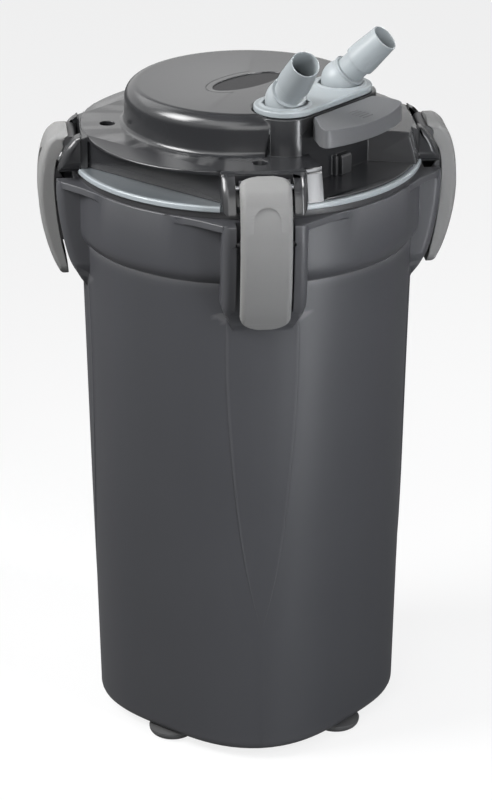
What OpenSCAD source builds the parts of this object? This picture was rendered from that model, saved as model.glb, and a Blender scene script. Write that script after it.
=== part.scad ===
// Canister filter for a large aquarium: a tapered canister with four clamps, a round pump head,
// a lift-out tap block with two swivelling hose elbows, and a stack of media baskets.
// The origin is on the floor under the middle of the canister, and the front clamp faces -Y.

/* [Canister] */
// Height of the rubber feet under the canister floor
foot_h = 5; // [4:0.5:9]
// Radius of a foot where it meets the floor of the canister
foot_r = 14; // [10:0.5:15]
// Distance of a foot from the middle
foot_out = 69; // [55:0.5:70]
// Height of the barrel, from the canister floor to the step under the collar
barrel_h = 294.3; // [250:0.1:330]
// Outer radius of the barrel at that step
barrel_r = 94.6; // [94:0.1:97]
// Mean outer radius of the rounded-square base
base_r = 84.1; // [82:0.1:86]
// How far the corners of the base stand out towards the clamps, as a part of its radius
base_corner = 0.051; // [0.03:0.001:0.055]
// Radius of the edge round the canister floor
base_fillet = 6; // [3:0.5:9]
// Wall of the canister
wall = 3; // [2.4:0.1:3.4]
// Height of the collar above the step
collar_h = 38.2; // [34:0.1:44]
// How far the collar stands out from the barrel
collar_step = 4.3; // [3.5:0.1:5]
// Height of the slope from the barrel to the collar
collar_slope = 6.2; // [4:0.1:9]
// Thickness of the rim lips beside each clamp
rim_lip_t = 4; // [2.5:0.1:6]
// Half width of the shield-shaped pad under each clamp
shield_half_w = 20.5; // [16:0.5:23]
// How far that pad stands proud of the barrel
shield_proud = 0.6; // [0.4:0.1:1]

/* [Clamps] */
// Width of a clamp
clamp_w = 28.4; // [24:0.1:29]
// Gap between a clamp and the cheek beside it
clamp_gap = 1.5; // [1.2:0.1:2]
// Thickness of the cheeks and fins beside a clamp
cheek_t = 7.8; // [6:0.1:9]
// Radius of a clamp's hinge pin
clamp_pin_r = 1.3; // [1:0.1:1.5]
// Thickness of a clamp's shell
clamp_skin = 3; // [2.2:0.1:3.5]

/* [Head] */
// Outer radius of the brim
brim_r = 94.3; // [93.6:0.1:95]
// Height of the brim's top above the canister's rim
brim_up = 26.2; // [24:0.1:28]
// Thickness of the brim
brim_t = 3; // [2.4:0.1:4]
// How far the head's skirt flares outwards below the brim
skirt_flare = 4.2; // [3:0.1:5]
// Distance from the middle to the chord walls of the finger recesses
chord_out = 79.5; // [78:0.1:82]
// Radius of the dome
dome_r = 69.5; // [68:0.1:71]
// Height of the dome above the brim
dome_h = 22.5; // [18:0.1:26]
// Radius of the dome's top edge
dome_fillet = 8; // [4:0.5:10]
// Thickness of the pale seal ring
ring_t = 3.2; // [2.4:0.1:4]
// Thickness of the pan under the head
pan_t = 3.8; // [3:0.1:5]
// Distance of the head screws from the middle
screw_out = 79; // [77.5:0.1:80]
// Radius of the holes that the head screws sit in
screw_well_r = 4.3; // [4:0.1:5]
// Length of the bare badge recess
badge_l = 49; // [40:1:54]
// Width of the bare badge recess
badge_w = 21; // [16:1:24]

/* [Tap block and lever] */
// Distance of the hose sockets from the middle, across the block
tap_out = 48; // [47.5:0.1:49]
// Half the distance between the two hose sockets
tap_half = 24.8; // [24:0.1:25.5]
// Radius of the plate's round ends
plate_r = 17.6; // [16.5:0.1:17.8]
// Thickness of the plate
plate_t = 3.6; // [3:0.1:4.5]
// How far the plate stands above the dome
plate_proud = 2.3; // [1:0.1:3]
// Wall round the tap block
tap_wall = 1.9; // [1.5:0.1:2.2]
// Outer radius of the spigots under the tap block
spigot_r = 12; // [11:0.1:12.5]
// Length of the spigots under the plate
spigot_l = 34; // [30:0.5:36]
// Length of the lever from its hinge to its lip
lever_l = 20.7; // [18:0.1:22]
// Half width of the lever at its hinge
lever_half_in = 24; // [22:0.1:24.4]
// Half width of the lever at its lip
lever_half_out = 35; // [30:0.1:36]
// Depth of the lever's lip
lever_lip = 9.2; // [7:0.1:10]
// Thickness of the lever's shell
lever_skin = 2.4; // [1.8:0.1:3]

/* [Hose elbows] */
// Radius of an elbow where it leaves the plate
elbow_r = 11.2; // [10.8:0.1:11.6]
// Height of the bend above the plate
bend_up = 2.7; // [2:0.1:5]
// Rise of the hose tail above the horizontal
tail_rise = 45.7; // [40:0.1:50]
// Length of the hose tail from the bend
tail_l = 36.8; // [34:0.1:42]
// Length of the thicker sleeve that the hose is pushed over
barb_l = 21.4; // [18:0.1:23]
// Outer radius of the sleeve at its barb
barb_r = 9.3; // [8.9:0.1:9.6]
// Outer radius of the sleeve at its tip
tail_tip_r = 8; // [7.6:0.1:8.4]
// Bore radius of the tail
tail_bore_r = 6.8; // [6:0.1:6.9]
// Direction of the front hose tail at rest
front_tail_turn = -71.4; // [-80:0.1:-60]
// Direction of the rear hose tail at rest
rear_tail_turn = -27.2; // [-35:0.1:-15]

/* [Pump] */
// Distance of the pump shaft from the middle, away from the tap block
pump_out = 24; // [22:0.5:26]
// Radius of the rotor magnet
rotor_r = 12; // [10:0.1:13]
// Length of the rotor magnet
rotor_l = 30; // [24:0.5:32]
// Radius of the impeller
impeller_r = 19; // [16:0.1:20]
// Height of the impeller blades
blade_h = 9; // [6:0.1:10]
// Number of impeller blades
blade_count = 6; // [4:1:8]
// Radius of the ceramic shaft
shaft_r = 2; // [1.5:0.1:2.5]

/* [Media] */
// Height of one basket
basket_h = 72; // [60:0.5:72]
// Gap between the baskets and the canister wall
basket_gap = 2.6; // [1.5:0.1:4]
// Wall of a basket
basket_wall = 2; // [1.6:0.1:2.6]
// Bore radius of the water channel through the baskets
channel_r = 13.2; // [12:0.1:14]

/* [Clearances] */
// Gap between faces that move past each other
run_gap = 0.3; // [0.2:0.05:0.5]
// Radial gap of a pin or shaft in its bore
pin_gap = 0.06; // [0.03:0.01:0.1]

/* [Hidden] */
$fn = 72;

// Heights
floor_z = foot_h;
step_z = floor_z + barrel_h;
rim_z = step_z + collar_h;
pan_z = rim_z + run_gap;
ring_z = pan_z + pan_t;
deck_z = ring_z + ring_t;
deck_t = 1.2;
brim_z = rim_z + brim_up;
dome_z = brim_z + dome_h;
plate_top = dome_z + plate_proud;
plate_z = plate_top - plate_t;
well_z = plate_z - run_gap;

// Radii of the canister
collar_r = barrel_r + collar_step;
collar_in_r = collar_r - wall;
ring_r = collar_r + 0.7;
skirt_r = brim_r + skirt_flare;
plug_r = collar_in_r - 2.6;
gasket_r = 1.7;

// Clamps: their places in the plane through the middle, as [outwards, up]
cheek_in = clamp_w / 2 + clamp_gap;
cheek_out = cheek_in + cheek_t;
pivot = [collar_r + 1.7, brim_z - 6.9];
top_round = brim_z + 0.3 - pivot[1];
barrel_round = top_round - clamp_skin;
clamp_sweep = barrel_round + 0.6;
clamp_side = 2.2;
clamp_start = 78;
seat_gap = 0.2;

// Tap block
well_r = plate_r + run_gap;
tap_r = well_r + tap_wall;
wall_out = tap_out + well_r + 0.1;
spigot_wall = 2.6;
spigot_bore = elbow_r - 3.4;
elbow_plug_r = elbow_r - 1.7;
elbow_plug_l = 12;
spigot_bottom = plate_z - spigot_l;
spigot_seal_r = 1.2;
elbow_seal_r = 1;
elbow_bore_r = elbow_plug_r - 3.2;

// Lever hinge in the tap block's frame, as [out, up]
hinge_round = 3.4;
hinge_pin_r = 1.2;
hinge_back = 0.9;
lever_hinge = [wall_out + hinge_back + hinge_round, dome_z - 1.2 - hinge_round];
lever_reach = lever_hinge[0] + lever_l;
lever_drop = 4;
ear_y = 15;
ear_t = 3;
ear_r = 2;

// Pump
pump_floor = pan_z - 14;
rotor_z = pump_floor + 14;
rotor_can_r = rotor_r + 1.6;
can_wall = 1.8;
blade_z = pump_floor - 6;
pump_r = impeller_r + 9;
cover_z = blade_z - 8;

// Baskets
post_h = 4;
basket_z = floor_z + wall + post_h;
basket_pitch = basket_h;
basket_r = base_r - wall - basket_gap;
basket_top = basket_z + 3 * basket_pitch + basket_h;
channel_wall = 2;
channel_pos = [tap_out, -tap_half];
socket_r = channel_r - 0.5;

// Duct from the pump to the rear socket, in the tap block's frame
duct_w = 14;
duct_h = 9;
duct_z = pan_z - 11;
duct_turn = atan2(tap_half, tap_out + pump_out);
duct_l = norm([tap_out + pump_out, tap_half]) - spigot_bore;

// ---------------------------------------------------------------- helpers

// Points along an arc of a circle
function arc(c, r, a0, a1, n) = [for (i = [0:n]) c + r * [cos(a0 + (a1 - a0) * i / n), sin(a0 + (a1 - a0) * i / n)]];

// Outline of the rounded-square base, its corners on the X and Y axes
function base_outline(mean_r, n = 96) =
    [for (i = [0:n - 1]) let (a = 360 * i / n, r = mean_r * (1 + base_corner * cos(4 * a))) [r * cos(a), r * sin(a)]];

// A smooth curve through a row of points, with n steps between each two
function curve(p, n = 4) = [for (i = [0:len(p) - 2], k = [0:i == len(p) - 2 ? n : n - 1])
    let (a = p[max(i - 1, 0)], b = p[i], c = p[i + 1], d = p[min(i + 2, len(p) - 1)], t = k / n)
        0.5 * ((2 * b) + (c - a) * t + (2 * a - 5 * b + 4 * c - d) * t * t + (3 * b - a - 3 * c + d) * t * t * t)];

// Puts a side that faces +X on each of the four clamps
module each_clamp() {
    for (turn = [-90, 0, 90, 180])
        rotate([0, 0, turn]) children();
}

// Frame of the tap block and lever: X runs out from the middle, Y along the block
module tap_frame() {
    rotate([0, 0, -45]) children();
}

// A profile of [outwards, up] points, spread across Y from y0 to y1
module across(points, y0, y1) {
    translate([0, y1, 0])
        rotate([90, 0, 0])
            linear_extrude(y1 - y0)
                polygon(points);
}

// A shaft along Y
module cross_shaft(at, r, y0, y1) {
    translate([at[0], y0, at[1]])
        rotate([-90, 0, 0])
            cylinder(r = r, h = y1 - y0);
}

// A seal ring of a given outer radius and half thickness, at a height
module seal(outer, thick, z) {
    translate([0, 0, z])
        rotate_extrude()
            translate([outer - thick, 0])
                circle(r = thick, $fn = 20);
}

// The square groove that a seal ring lies in
module seal_groove(outer, thick, z) {
    translate([0, 0, z - thick - 0.05])
        difference() {
            cylinder(r = outer + 3, h = 2 * thick + 0.1);
            translate([0, 0, -1])
                cylinder(r = outer - 2 * thick - 0.02, h = 2 * thick + 3);
        }
}

// A flat oblong with round ends, its two centres on Y
module oblong(half, r, h) {
    translate([-r, -half, 0])
        cube([2 * r, 2 * half, h]);
    for (side = [-1, 1])
        translate([0, side * half, 0])
            cylinder(r = r, h = h);
}

// A block across Y whose face follows a curve and rounds over at both flanks. The back points close the shape
module rounded_block(face, back, half, r) {
    hull()
        for (a = [0, 30, 60, 90])
            across(concat([for (p = face) [max(back[0][0], p[0] - r * (1 - cos(a))), p[1]]], back),
                -half + r * (1 - sin(a)), half - r * (1 - sin(a)));
}

// A front view of [across, up] points, spread outwards from x0 to x1
module outwards(points, x0, x1) {
    translate([x0, 0, 0])
        rotate([90, 0, 90])
            linear_extrude(x1 - x0)
                polygon(points);
}

// ---------------------------------------------------------------- canister

// The barrel, lofted from the rounded-square base to the round step
module barrel(grow, z0, z1, fillet) {
    thin = 0.02;
    mean = base_r + grow;
    hull() {
        for (a = [0, 30, 60, 90])
            translate([0, 0, z0 + fillet * (1 - cos(a))])
                linear_extrude(thin)
                    polygon(base_outline(mean - fillet * (1 - sin(a))));
        translate([0, 0, z1 - thin])
            cylinder(r = barrel_r + grow, h = thin, $fn = 96);
    }
}

// Outline of the collar's lower end, where it rolls in to the step
collar_line = [for (p = [[0.35, 0.25], [0.62, 0.5], [0.8, 0.8], [0.9, 1.25]])
    [barrel_r + p[0] * collar_step, p[1] * collar_slope]];

// Outer edge of a cheek beside a clamp, measured from the collar and the rim
cheek_edge = curve([for (p = [[10, 0], [10.3, -8.5], [9.1, -21.5], [6.5, -36.5], [3.5, -48], [-1, -56.5], [-6.5, -66]])
    [collar_r + p[0], rim_z + p[1]]], 2);

// Radius of the rounded flanks of the cheeks and fins
flank_r = 4.6;

// Both cheeks of one clamp, with the slot for the clamp between them
module cheeks() {
    root = barrel_r - 8;
    taper_z = rim_z - 49;
    tip_z = rim_z - 66;
    intersection() {
        rounded_block(cheek_edge, [[root, tip_z], [root, rim_z]], cheek_out, flank_r);
        union()
            for (side = [-1, 1])
                outwards([
                    [side * cheek_in, rim_z], [side * cheek_out, rim_z], [side * cheek_out, taper_z],
                    [side * (cheek_in + 0.6), tip_z], [side * cheek_in, tip_z]
                ], root, collar_r + 12);
    }
}

// Rim lips that flare from the collar to the cheeks
module rim_lips() {
    tangent = 32;
    end_out = collar_r - 0.2;
    translate([0, 0, rim_z - rim_lip_t])
        linear_extrude(rim_lip_t)
            polygon([
                [end_out * cos(tangent), -end_out * sin(tangent)],
                [collar_r * cos(22) + 2.3, -collar_r * sin(22)],
                [cheek_edge[0][0] - 1.3, -cheek_out + 1.7],
                [cheek_edge[0][0] - 1.3, cheek_out - 1.7],
                [collar_r * cos(22) + 2.3, collar_r * sin(22)],
                [end_out * cos(tangent), end_out * sin(tangent)]
            ]);
}

// Shield-shaped pad that runs down the barrel from a clamp to a point
module shield_prism() {
    w = shield_half_w;
    top = rim_z - 55;
    drop = barrel_h * 0.7;
    side = [[w, 0], [w, -0.2], [0.86 * w, -0.43], [0.63 * w, -0.65], [0.37 * w, -0.81], [0, -0.965]];
    right = [for (p = side) [p[0], top + p[1] * drop]];
    left = [for (i = [len(side) - 2:-1:0]) [-side[i][0], top + side[i][1] * drop]];
    outwards(concat(right, left), base_r * 0.8, barrel_r + 5);
}

module canister_body() {
    inner_fillet = base_fillet / 2;
    nub_z = rim_z - 10.5;
    color([0.16, 0.165, 0.175])
    difference() {
        union() {
            barrel(0, floor_z, step_z, base_fillet);
            intersection() {
                barrel(shield_proud, floor_z + base_fillet, step_z, base_fillet);
                each_clamp() shield_prism();
            }
            translate([0, 0, step_z])
                rotate_extrude()
                    polygon(concat([[0, 0], [barrel_r, 0]], collar_line, [[collar_r, collar_h], [0, collar_h]]));
            each_clamp() {
                cheeks();
                rim_lips();
            }
        }
        barrel(-wall, floor_z + wall, step_z, inner_fillet);
        translate([0, 0, step_z - 0.01])
            cylinder(r1 = barrel_r - wall, r2 = collar_in_r, h = collar_slope);
        translate([0, 0, step_z + collar_slope - 0.02])
            cylinder(r = collar_in_r, h = collar_h);
        each_clamp() {
            // Slot for the clamp through the rim lip
            translate([collar_r + 0.8, -cheek_in, rim_z - 60])
                cube([40, 2 * cheek_in, 70]);
            // Dimples that the clamp's nubs snap against
            cross_shaft([collar_r + 8.3, nub_z], 2, -cheek_in - 0.5, cheek_in + 0.5);
        }
    }
    // Rail that a clamp's hook stands in front of
    color([0.16, 0.165, 0.175])
    each_clamp()
        translate([collar_r - 1, -clamp_w / 2 + 1.2, nub_z - 4])
            cube([3.6, clamp_w - 2.4, 4]);
    // Posts that carry the lowest basket
    color([0.16, 0.165, 0.175])
    for (turn = [0, 90, 180, 270])
        rotate([0, 0, turn])
            translate([base_r * 0.72, 0, floor_z + wall - 0.5])
                cylinder(r = 5, h = post_h + 0.5);
}

module feet() {
    edge = foot_h - 0.5;
    color([0.1, 0.1, 0.11])
    for (turn = [45, 135, 225, 315])
        rotate([0, 0, turn])
            translate([foot_out, 0, 0])
                rotate_extrude()
                    polygon(concat([[0, foot_h], [0, 0]],
                        arc([foot_r - edge, edge], edge, -90, 0, 6),
                        [[foot_r, foot_h]]));
}

// ---------------------------------------------------------------- head

// Plan of the lever recess in the tap block's frame
recess_half = 26.9;
recess_plan = [[wall_out, -recess_half], [wall_out + 44, -recess_half - 28.2],
    [wall_out + 44, recess_half + 28.2], [wall_out, recess_half]];

// Plan of the drum under the brim: a disc with three chord walls and the lever recess
module drum_plan(inset) {
    difference() {
        circle(r = skirt_r + 2);
        for (turn = [45, 135, 225])
            rotate(turn)
                translate([chord_out - inset, -60])
                    square([40, 120]);
    }
    for (turn = [-90, 0, 90, 180])
        rotate(turn)
            translate([0, -cheek_out])
                square([skirt_r + 2, 2 * cheek_out]);
}

// Outer edge of a fin beside a clamp, measured from the brim
fin_edge = curve([for (p = [[0.4, -0.2], [4, -1.4], [7.4, -5], [9.6, -7.8], [11.4, -11.6], [13.2, -17], [14, -20.2], [13.6, -21.7]])
    [brim_r + p[0], brim_z + p[1]]], 2);

// Outer edge of a fin from the front: how far in from its flank, and how high above its foot
fin_corner = [[6, -0.5], [3, 0.6], [0.8, 3.2], [0, 7], [0, 16], [2, 22.1]];

// Both fins of one clamp, with their feet down to the deck
module fins() {
    root = brim_r + 0.9;
    top = fin_edge[0][1];
    bottom = fin_edge[len(fin_edge) - 1][1];
    difference() {
        union() {
            intersection() {
                rounded_block(fin_edge, [[root, bottom], [root, top]], cheek_out, flank_r);
                // Front view, with the outer corners drawn in
                outwards(concat(
                    [for (p = fin_corner) [p[0] - cheek_out, bottom + p[1]]],
                    [for (i = [len(fin_corner) - 1:-1:0]) [cheek_out - fin_corner[i][0], bottom + fin_corner[i][1]]]),
                    root - 1, root + 30);
            }
            across([[brim_r - 3, deck_z], [root + 0.5, deck_z], [root + 0.5, top - 1.5], [brim_r - 3, top]],
                -cheek_out, cheek_out);
        }
        translate([root - 0.5, -cheek_in, bottom - 1])
            cube([30, 2 * cheek_in, 30]);
    }
}

// Dome profile, revolved about the middle
module dome_solid() {
    foot_round = 1.6;
    rotate_extrude()
        polygon(concat(
            [[0, brim_z - 1], [dome_r + foot_round, brim_z - 1]],
            arc([dome_r + foot_round, brim_z + foot_round], foot_round, 270, 180, 3),
            arc([dome_r - dome_fillet - 0.4, dome_z - dome_fillet], dome_fillet, 0, 90, 8),
            [[0, dome_z]]));
}

// Hollow inside the dome and drum
module head_hollow() {
    skin = 3;
    r = dome_r - skin;
    rotate_extrude()
        polygon(concat(
            [[0, ring_z], [r, ring_z]],
            arc([r - dome_fillet + skin, dome_z - skin - dome_fillet + skin], dome_fillet - skin, 0, 90, 4),
            [[0, dome_z - skin]]));
}

// Screw positions, one at each clamp
module each_screw() {
    each_clamp()
        translate([screw_out, 0, 0]) children();
}

// Ears that carry the lever's hinge pin, hidden under the lever
module lever_ears() {
    neck = 1.8;
    x = lever_hinge[0];
    z = lever_hinge[1];
    for (side = [-1, 1]) {
        y = side > 0 ? ear_y : -ear_y - ear_t;
        across([
            [wall_out - 1, z - 4.6], [x - neck, z - 4.6], [x - neck, z],
            [x + neck, z], [x + neck, z - 7], [wall_out - 1, z - 13]
        ], y, y + ear_t);
        cross_shaft(lever_hinge, ear_r, y, y + ear_t);
    }
}

// A thin groove along part of an oval, drawn in plan
module oval_groove(length, width, from, to, line) {
    steps = 40;
    polygon([for (side = [0, 1], i = [0:steps])
        let (a = from + (to - from) * (side == 0 ? i : steps - i) / steps)
            [(length / 2 + side * line) * cos(a), (width / 2 + side * line) * sin(a)]]);
}

module head_housing() {
    badge_turn = 38;
    brim_edge = 1.1;
    well_mouth = 2.6;
    color([0.13, 0.135, 0.145])
    difference() {
        union() {
            // Brim and drum
            translate([0, 0, brim_z - brim_t])
                rotate_extrude()
                    polygon(concat([[0, 0], [brim_r, 0]],
                        arc([brim_r - brim_edge, brim_t - brim_edge], brim_edge, 0, 90, 4), [[0, brim_t]]));
            intersection() {
                translate([0, 0, deck_z])
                    cylinder(r1 = skirt_r, r2 = brim_r + 0.4, h = brim_z - deck_z - 0.2);
                translate([0, 0, deck_z])
                    linear_extrude(brim_z - deck_z)
                        drum_plan(0);
            }
            each_clamp() fins();
            // Dome, cut off square in front of the lever, and the wall round the tap block
            difference() {
                dome_solid();
                tap_frame()
                    translate([tap_out + 5, -100, brim_z])
                        cube([60, 200, 60]);
            }
            tap_frame() {
                intersection() {
                    translate([tap_out, 0, deck_z])
                        oblong(tap_half, tap_r, dome_z + 0.4 - deck_z);
                    translate([0, -60, deck_z])
                        cube([wall_out, 120, 60]);
                }
                lever_ears();
            }
        }
        // Lever recess, down to the deck
        tap_frame()
            translate([0, 0, deck_z + deck_t])
                linear_extrude(brim_z + 1 - deck_z - deck_t)
                    polygon(recess_plan);
        // Edge of the deck in the recess, set back from the seal ring
        tap_frame()
            translate([0, 0, deck_z - 1])
                difference() {
                    linear_extrude(deck_t + 1.01)
                        polygon(recess_plan);
                    cylinder(r = skirt_r - 1.7, h = deck_t + 1.01);
                }
        // Brim slopes beyond the chord walls
        for (turn = [45, 135, 225])
            rotate([0, 0, turn])
                translate([chord_out, -70, brim_z])
                    rotate([0, 6, 0])
                        cube([40, 140, 6]);
        // Room for each clamp's hinge barrel
        each_clamp()
            cross_shaft(pivot, clamp_sweep, -cheek_in, cheek_in);
        // Bores for the clamp pins, blind in the fins
        each_clamp()
            cross_shaft(pivot, clamp_pin_r + pin_gap, -cheek_in - 4, cheek_in + 4);
        // Hollow for the motor, with the tap block's well and the screw pillars left standing
        difference() {
            head_hollow();
            tap_frame()
                translate([tap_out, 0, deck_z - 4])
                    oblong(tap_half, tap_r, 60);
            tap_frame()
                translate([wall_out - 3, -60, deck_z - 4])
                    cube([40, 120, 60]);
        }
        // Well for the plate, and the two sockets under it
        tap_frame() {
            translate([tap_out, 0, well_z])
                oblong(tap_half, well_r, 20);
            // Its mouth widens into the dome, and on the lever's side its floor is the top of the wall
            for (side = [-1, 1])
                translate([tap_out, side * tap_half, well_z])
                    cylinder(r1 = well_r, r2 = well_r + well_mouth, h = well_mouth);
            across([[tap_out - well_r, well_z], [tap_out - well_r - well_mouth, well_z + well_mouth],
                [tap_out + well_r + well_mouth, well_z + well_mouth], [tap_out + well_r, well_z]], -tap_half, tap_half);
            translate([tap_out + 5, -60, well_z])
                cube([40, 120, 20]);
            for (side = [-1, 1])
                translate([tap_out, side * tap_half, deck_z - 1])
                    cylinder(r = spigot_r + run_gap, h = 60);
            cross_shaft(lever_hinge, hinge_pin_r + pin_gap, -ear_y - ear_t - 1, ear_y + ear_t + 1);
        }
        // Screw wells and shank holes
        each_screw() {
            translate([0, 0, deck_z + 5])
                cylinder(r = screw_well_r, h = 40);
            translate([0, 0, deck_z - 1])
                cylinder(r = 2.1, h = 10);
        }
        // Badge recess in the top, and the fine groove round it
        rotate([0, 0, badge_turn])
            translate([0, 0, dome_z - 1])
                linear_extrude(2)
                    scale([1, badge_w / badge_l])
                        circle(d = badge_l, $fn = 48);
        rotate([0, 0, badge_turn])
            translate([0, 0, dome_z - 0.4])
                linear_extrude(2)
                    oval_groove(badge_l + 7, badge_w + 8, 60, 225, 0.5);
        // Cable entry in the back of the dome
        rotate([0, 0, 135])
            translate([dome_r - 8, 0, brim_z + 8])
                rotate([0, 90, 0])
                    cylinder(r = 4.6, h = 20);
    }
    // Catch for the lever, on the wall at the back of the recess
    color([0.13, 0.135, 0.145])
    tap_frame()
        translate([wall_out - 0.5, 0, deck_z + deck_t]) {
            translate([0, -5.6, 0])
                cube([3.4, 2.2, 11]);
            translate([0, -1.8, 0])
                cube([4.8, 8.6, 11]);
        }
}

module head_base() {
    plug_h = 13;
    color([0.12, 0.12, 0.13])
    difference() {
        union() {
            translate([0, 0, pan_z])
                cylinder(r = ring_r - 2, h = pan_t);
            // Plug that goes down into the collar, with the groove for its gasket
            translate([0, 0, pan_z - plug_h])
                cylinder(r = plug_r, h = plug_h);
            // Sockets: the front one leads down into the baskets' channel, the rear one takes the pump's duct
            tap_frame()
                for (side = [-1, 1])
                    translate([tap_out, side * tap_half, socket_end(side)])
                        cylinder(r = socket_r, h = pan_z - socket_end(side));
            // Can for the rotor
            translate(pump_place())
                translate([0, 0, pan_z])
                    cylinder(r = rotor_can_r + can_wall, h = rotor_z + rotor_l + 4 - pan_z);
        }
        // Room inside the plug
        difference() {
            translate([0, 0, pan_z - plug_h - 1])
                cylinder(r = plug_r - 3.4, h = plug_h + 1);
            tap_frame()
                for (side = [-1, 1])
                    translate([tap_out, side * tap_half, 0])
                        cylinder(r = socket_r, h = 400);
        }
        // Gasket groove
        translate([0, 0, pan_z - 7])
            rotate_extrude()
                translate([collar_in_r - run_gap - gasket_r, 0])
                    circle(r = gasket_r + 0.05, $fn = 24);
        tap_frame() {
            translate([tap_out, -tap_half, socket_end(-1) - 1])
                cylinder(r = spigot_bore + 1.5, h = 90);
            translate([tap_out, tap_half, socket_end(1) + 2])
                cylinder(r = spigot_bore + 1.5, h = 90);
            // Mouth for the pump's duct
            pump_duct(seat_gap);
        }
        translate(pump_place())
            translate([0, 0, pan_z - 1])
                cylinder(r = rotor_can_r, h = rotor_z + rotor_l + 2 - pan_z + 1);
        each_screw()
            translate([0, 0, pan_z - 1])
                cylinder(r = 2.1, h = pan_t + 2);
    }
}

// Lower end of a socket
function socket_end(side) = side < 0 ? basket_top - 4 : duct_z - 3;

// Where the pump stands, opposite the tap block
function pump_place() = [-pump_out / sqrt(2), pump_out / sqrt(2), 0];

module seal_ring() {
    inner_r = screw_out - 6;
    edge = 0.8;
    color([0.78, 0.82, 0.84])
    difference() {
        translate([0, 0, ring_z])
            rotate_extrude()
                polygon(concat([[inner_r, 0]],
                    arc([ring_r - edge, edge], edge, -90, 0, 4),
                    arc([ring_r - edge, ring_t - edge], edge, 0, 90, 4), [[inner_r, ring_t]]));
        // Flats that clear the fins
        each_clamp()
            translate([brim_r + 0.6, -cheek_out - run_gap, ring_z - 1])
                cube([20, 2 * cheek_out + 2 * run_gap, ring_t + 2]);
        each_screw()
            translate([0, 0, ring_z - 1])
                cylinder(r = 2.3, h = ring_t + 2);
    }
}

module head_gasket() {
    color([0.08, 0.08, 0.08])
    translate([0, 0, pan_z - 7])
        rotate_extrude()
            translate([collar_in_r - run_gap - gasket_r, 0])
                circle(r = gasket_r, $fn = 24);
}

module head_screws() {
    head_z = deck_z + 5;
    color([0.62, 0.63, 0.65])
    each_screw()
        difference() {
            union() {
                translate([0, 0, pan_z])
                    cylinder(r = 2, h = head_z - pan_z);
                translate([0, 0, head_z])
                    cylinder(r1 = 3.7, r2 = 3.1, h = 2.6);
            }
            for (turn = [0, 90])
                rotate([0, 0, turn])
                    translate([-2.4, -0.5, head_z + 1.2])
                        cube([4.8, 1, 4]);
        }
}

module badge_plate() {
    badge_turn = 38;
    color([0.3, 0.31, 0.32])
    rotate([0, 0, badge_turn])
        translate([0, 0, dome_z - 1])
            linear_extrude(0.5)
                scale([1, (badge_w - 0.4) / (badge_l - 0.4)])
                    circle(d = badge_l - 0.4, $fn = 48);
}

module cable_gland() {
    bore_r = 3.2;
    color([0.1, 0.1, 0.11])
    rotate([0, 0, 135])
        translate([dome_r - 6, 0, brim_z + 8])
            rotate([0, 90, 0])
                difference() {
                    union() {
                        cylinder(r = 4.5, h = 8);
                        translate([0, 0, 6.6])
                            cylinder(r = 6.4, h = 3);
                        translate([0, 0, 9.6])
                            cylinder(r1 = 6, r2 = 4.6, h = 6);
                    }
                    translate([0, 0, 2])
                        cylinder(r = bore_r, h = 20);
                }
}

// ---------------------------------------------------------------- clamps

// A line of points moved sideways, to the right of its direction
function inset(p, d) = [for (i = [0:len(p) - 1])
    let (t = p[min(i + 1, len(p) - 1)] - p[max(i - 1, 0)]) p[i] + d * [t[1], -t[0]] / norm(t)];

// Outer face of a clamp from the top down, measured from the collar and the rim
shell_outer = curve(concat(arc(pivot, top_round, clamp_start, 68, 1),
    [for (p = [[6.9, 25.4], [11.1, 23.3], [14.9, 19.5], [17.6, 12.5], [19.3, 4.5], [20.1, -5.5], [20.1, -15.5],
        [18.7, -27.5], [16, -39.5], [12.9, -49], [9.9, -55.5], [6.8, -61]]) [collar_r + p[0], rim_z + p[1]]]), 2);
// Inner edge of its side walls, from the bottom up
shell_inner = curve([for (p = [[3.9, -59.6], [5.4, -51], [8, -38.5], [10, -24], [11, -9.5], [11, 1], [9.6, 9.5]])
    [collar_r + p[0], rim_z + p[1]]], 2);

// A clamp's outline from the front, with elliptical ends
module clamp_front_view() {
    half = clamp_w / 2;
    top = brim_z + 0.4;
    top_end = 5.2;
    bottom = rim_z - 61.2;
    bottom_end = 8.5;
    steps = 8;
    outwards(concat(
        [for (i = [0:steps]) [half * cos(180 * i / steps), top - top_end * (1 - sin(180 * i / steps))]],
        [for (i = [0:steps]) [-half * cos(180 * i / steps), bottom + bottom_end * (1 - sin(180 * i / steps))]]),
        collar_r - 8, collar_r + 30);
}

module clamp_shell(turn) {
    half = clamp_w / 2;
    skin_line = inset(shell_outer, clamp_skin);
    last = len(shell_outer) - 3;
    color([0.47, 0.47, 0.46])
    rotate([0, 0, turn])
        difference() {
            intersection() {
                across(concat(shell_outer, shell_inner, arc(pivot, barrel_round, -30, clamp_start, 8)), -half, half);
                clamp_front_view();
                rounded_block(shell_outer, [[collar_r - 6, shell_outer[len(shell_outer) - 1][1]], [collar_r - 6, pivot[1]]],
                    half, 2.4);
            }
            // Hollow behind the skin, where the frame sits
            across(concat([for (i = [0:last]) skin_line[i]],
                [[collar_r - 4, rim_z - 50], [collar_r - 4, brim_z + 4]]), -half + clamp_side, half - clamp_side);
            // Shallow dent for the thumb
            translate([collar_r + 40.6, 0, rim_z + 9])
                scale([1, 0.42, 0.7])
                    sphere(r = 22, $fn = 48);
        }
}

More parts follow.
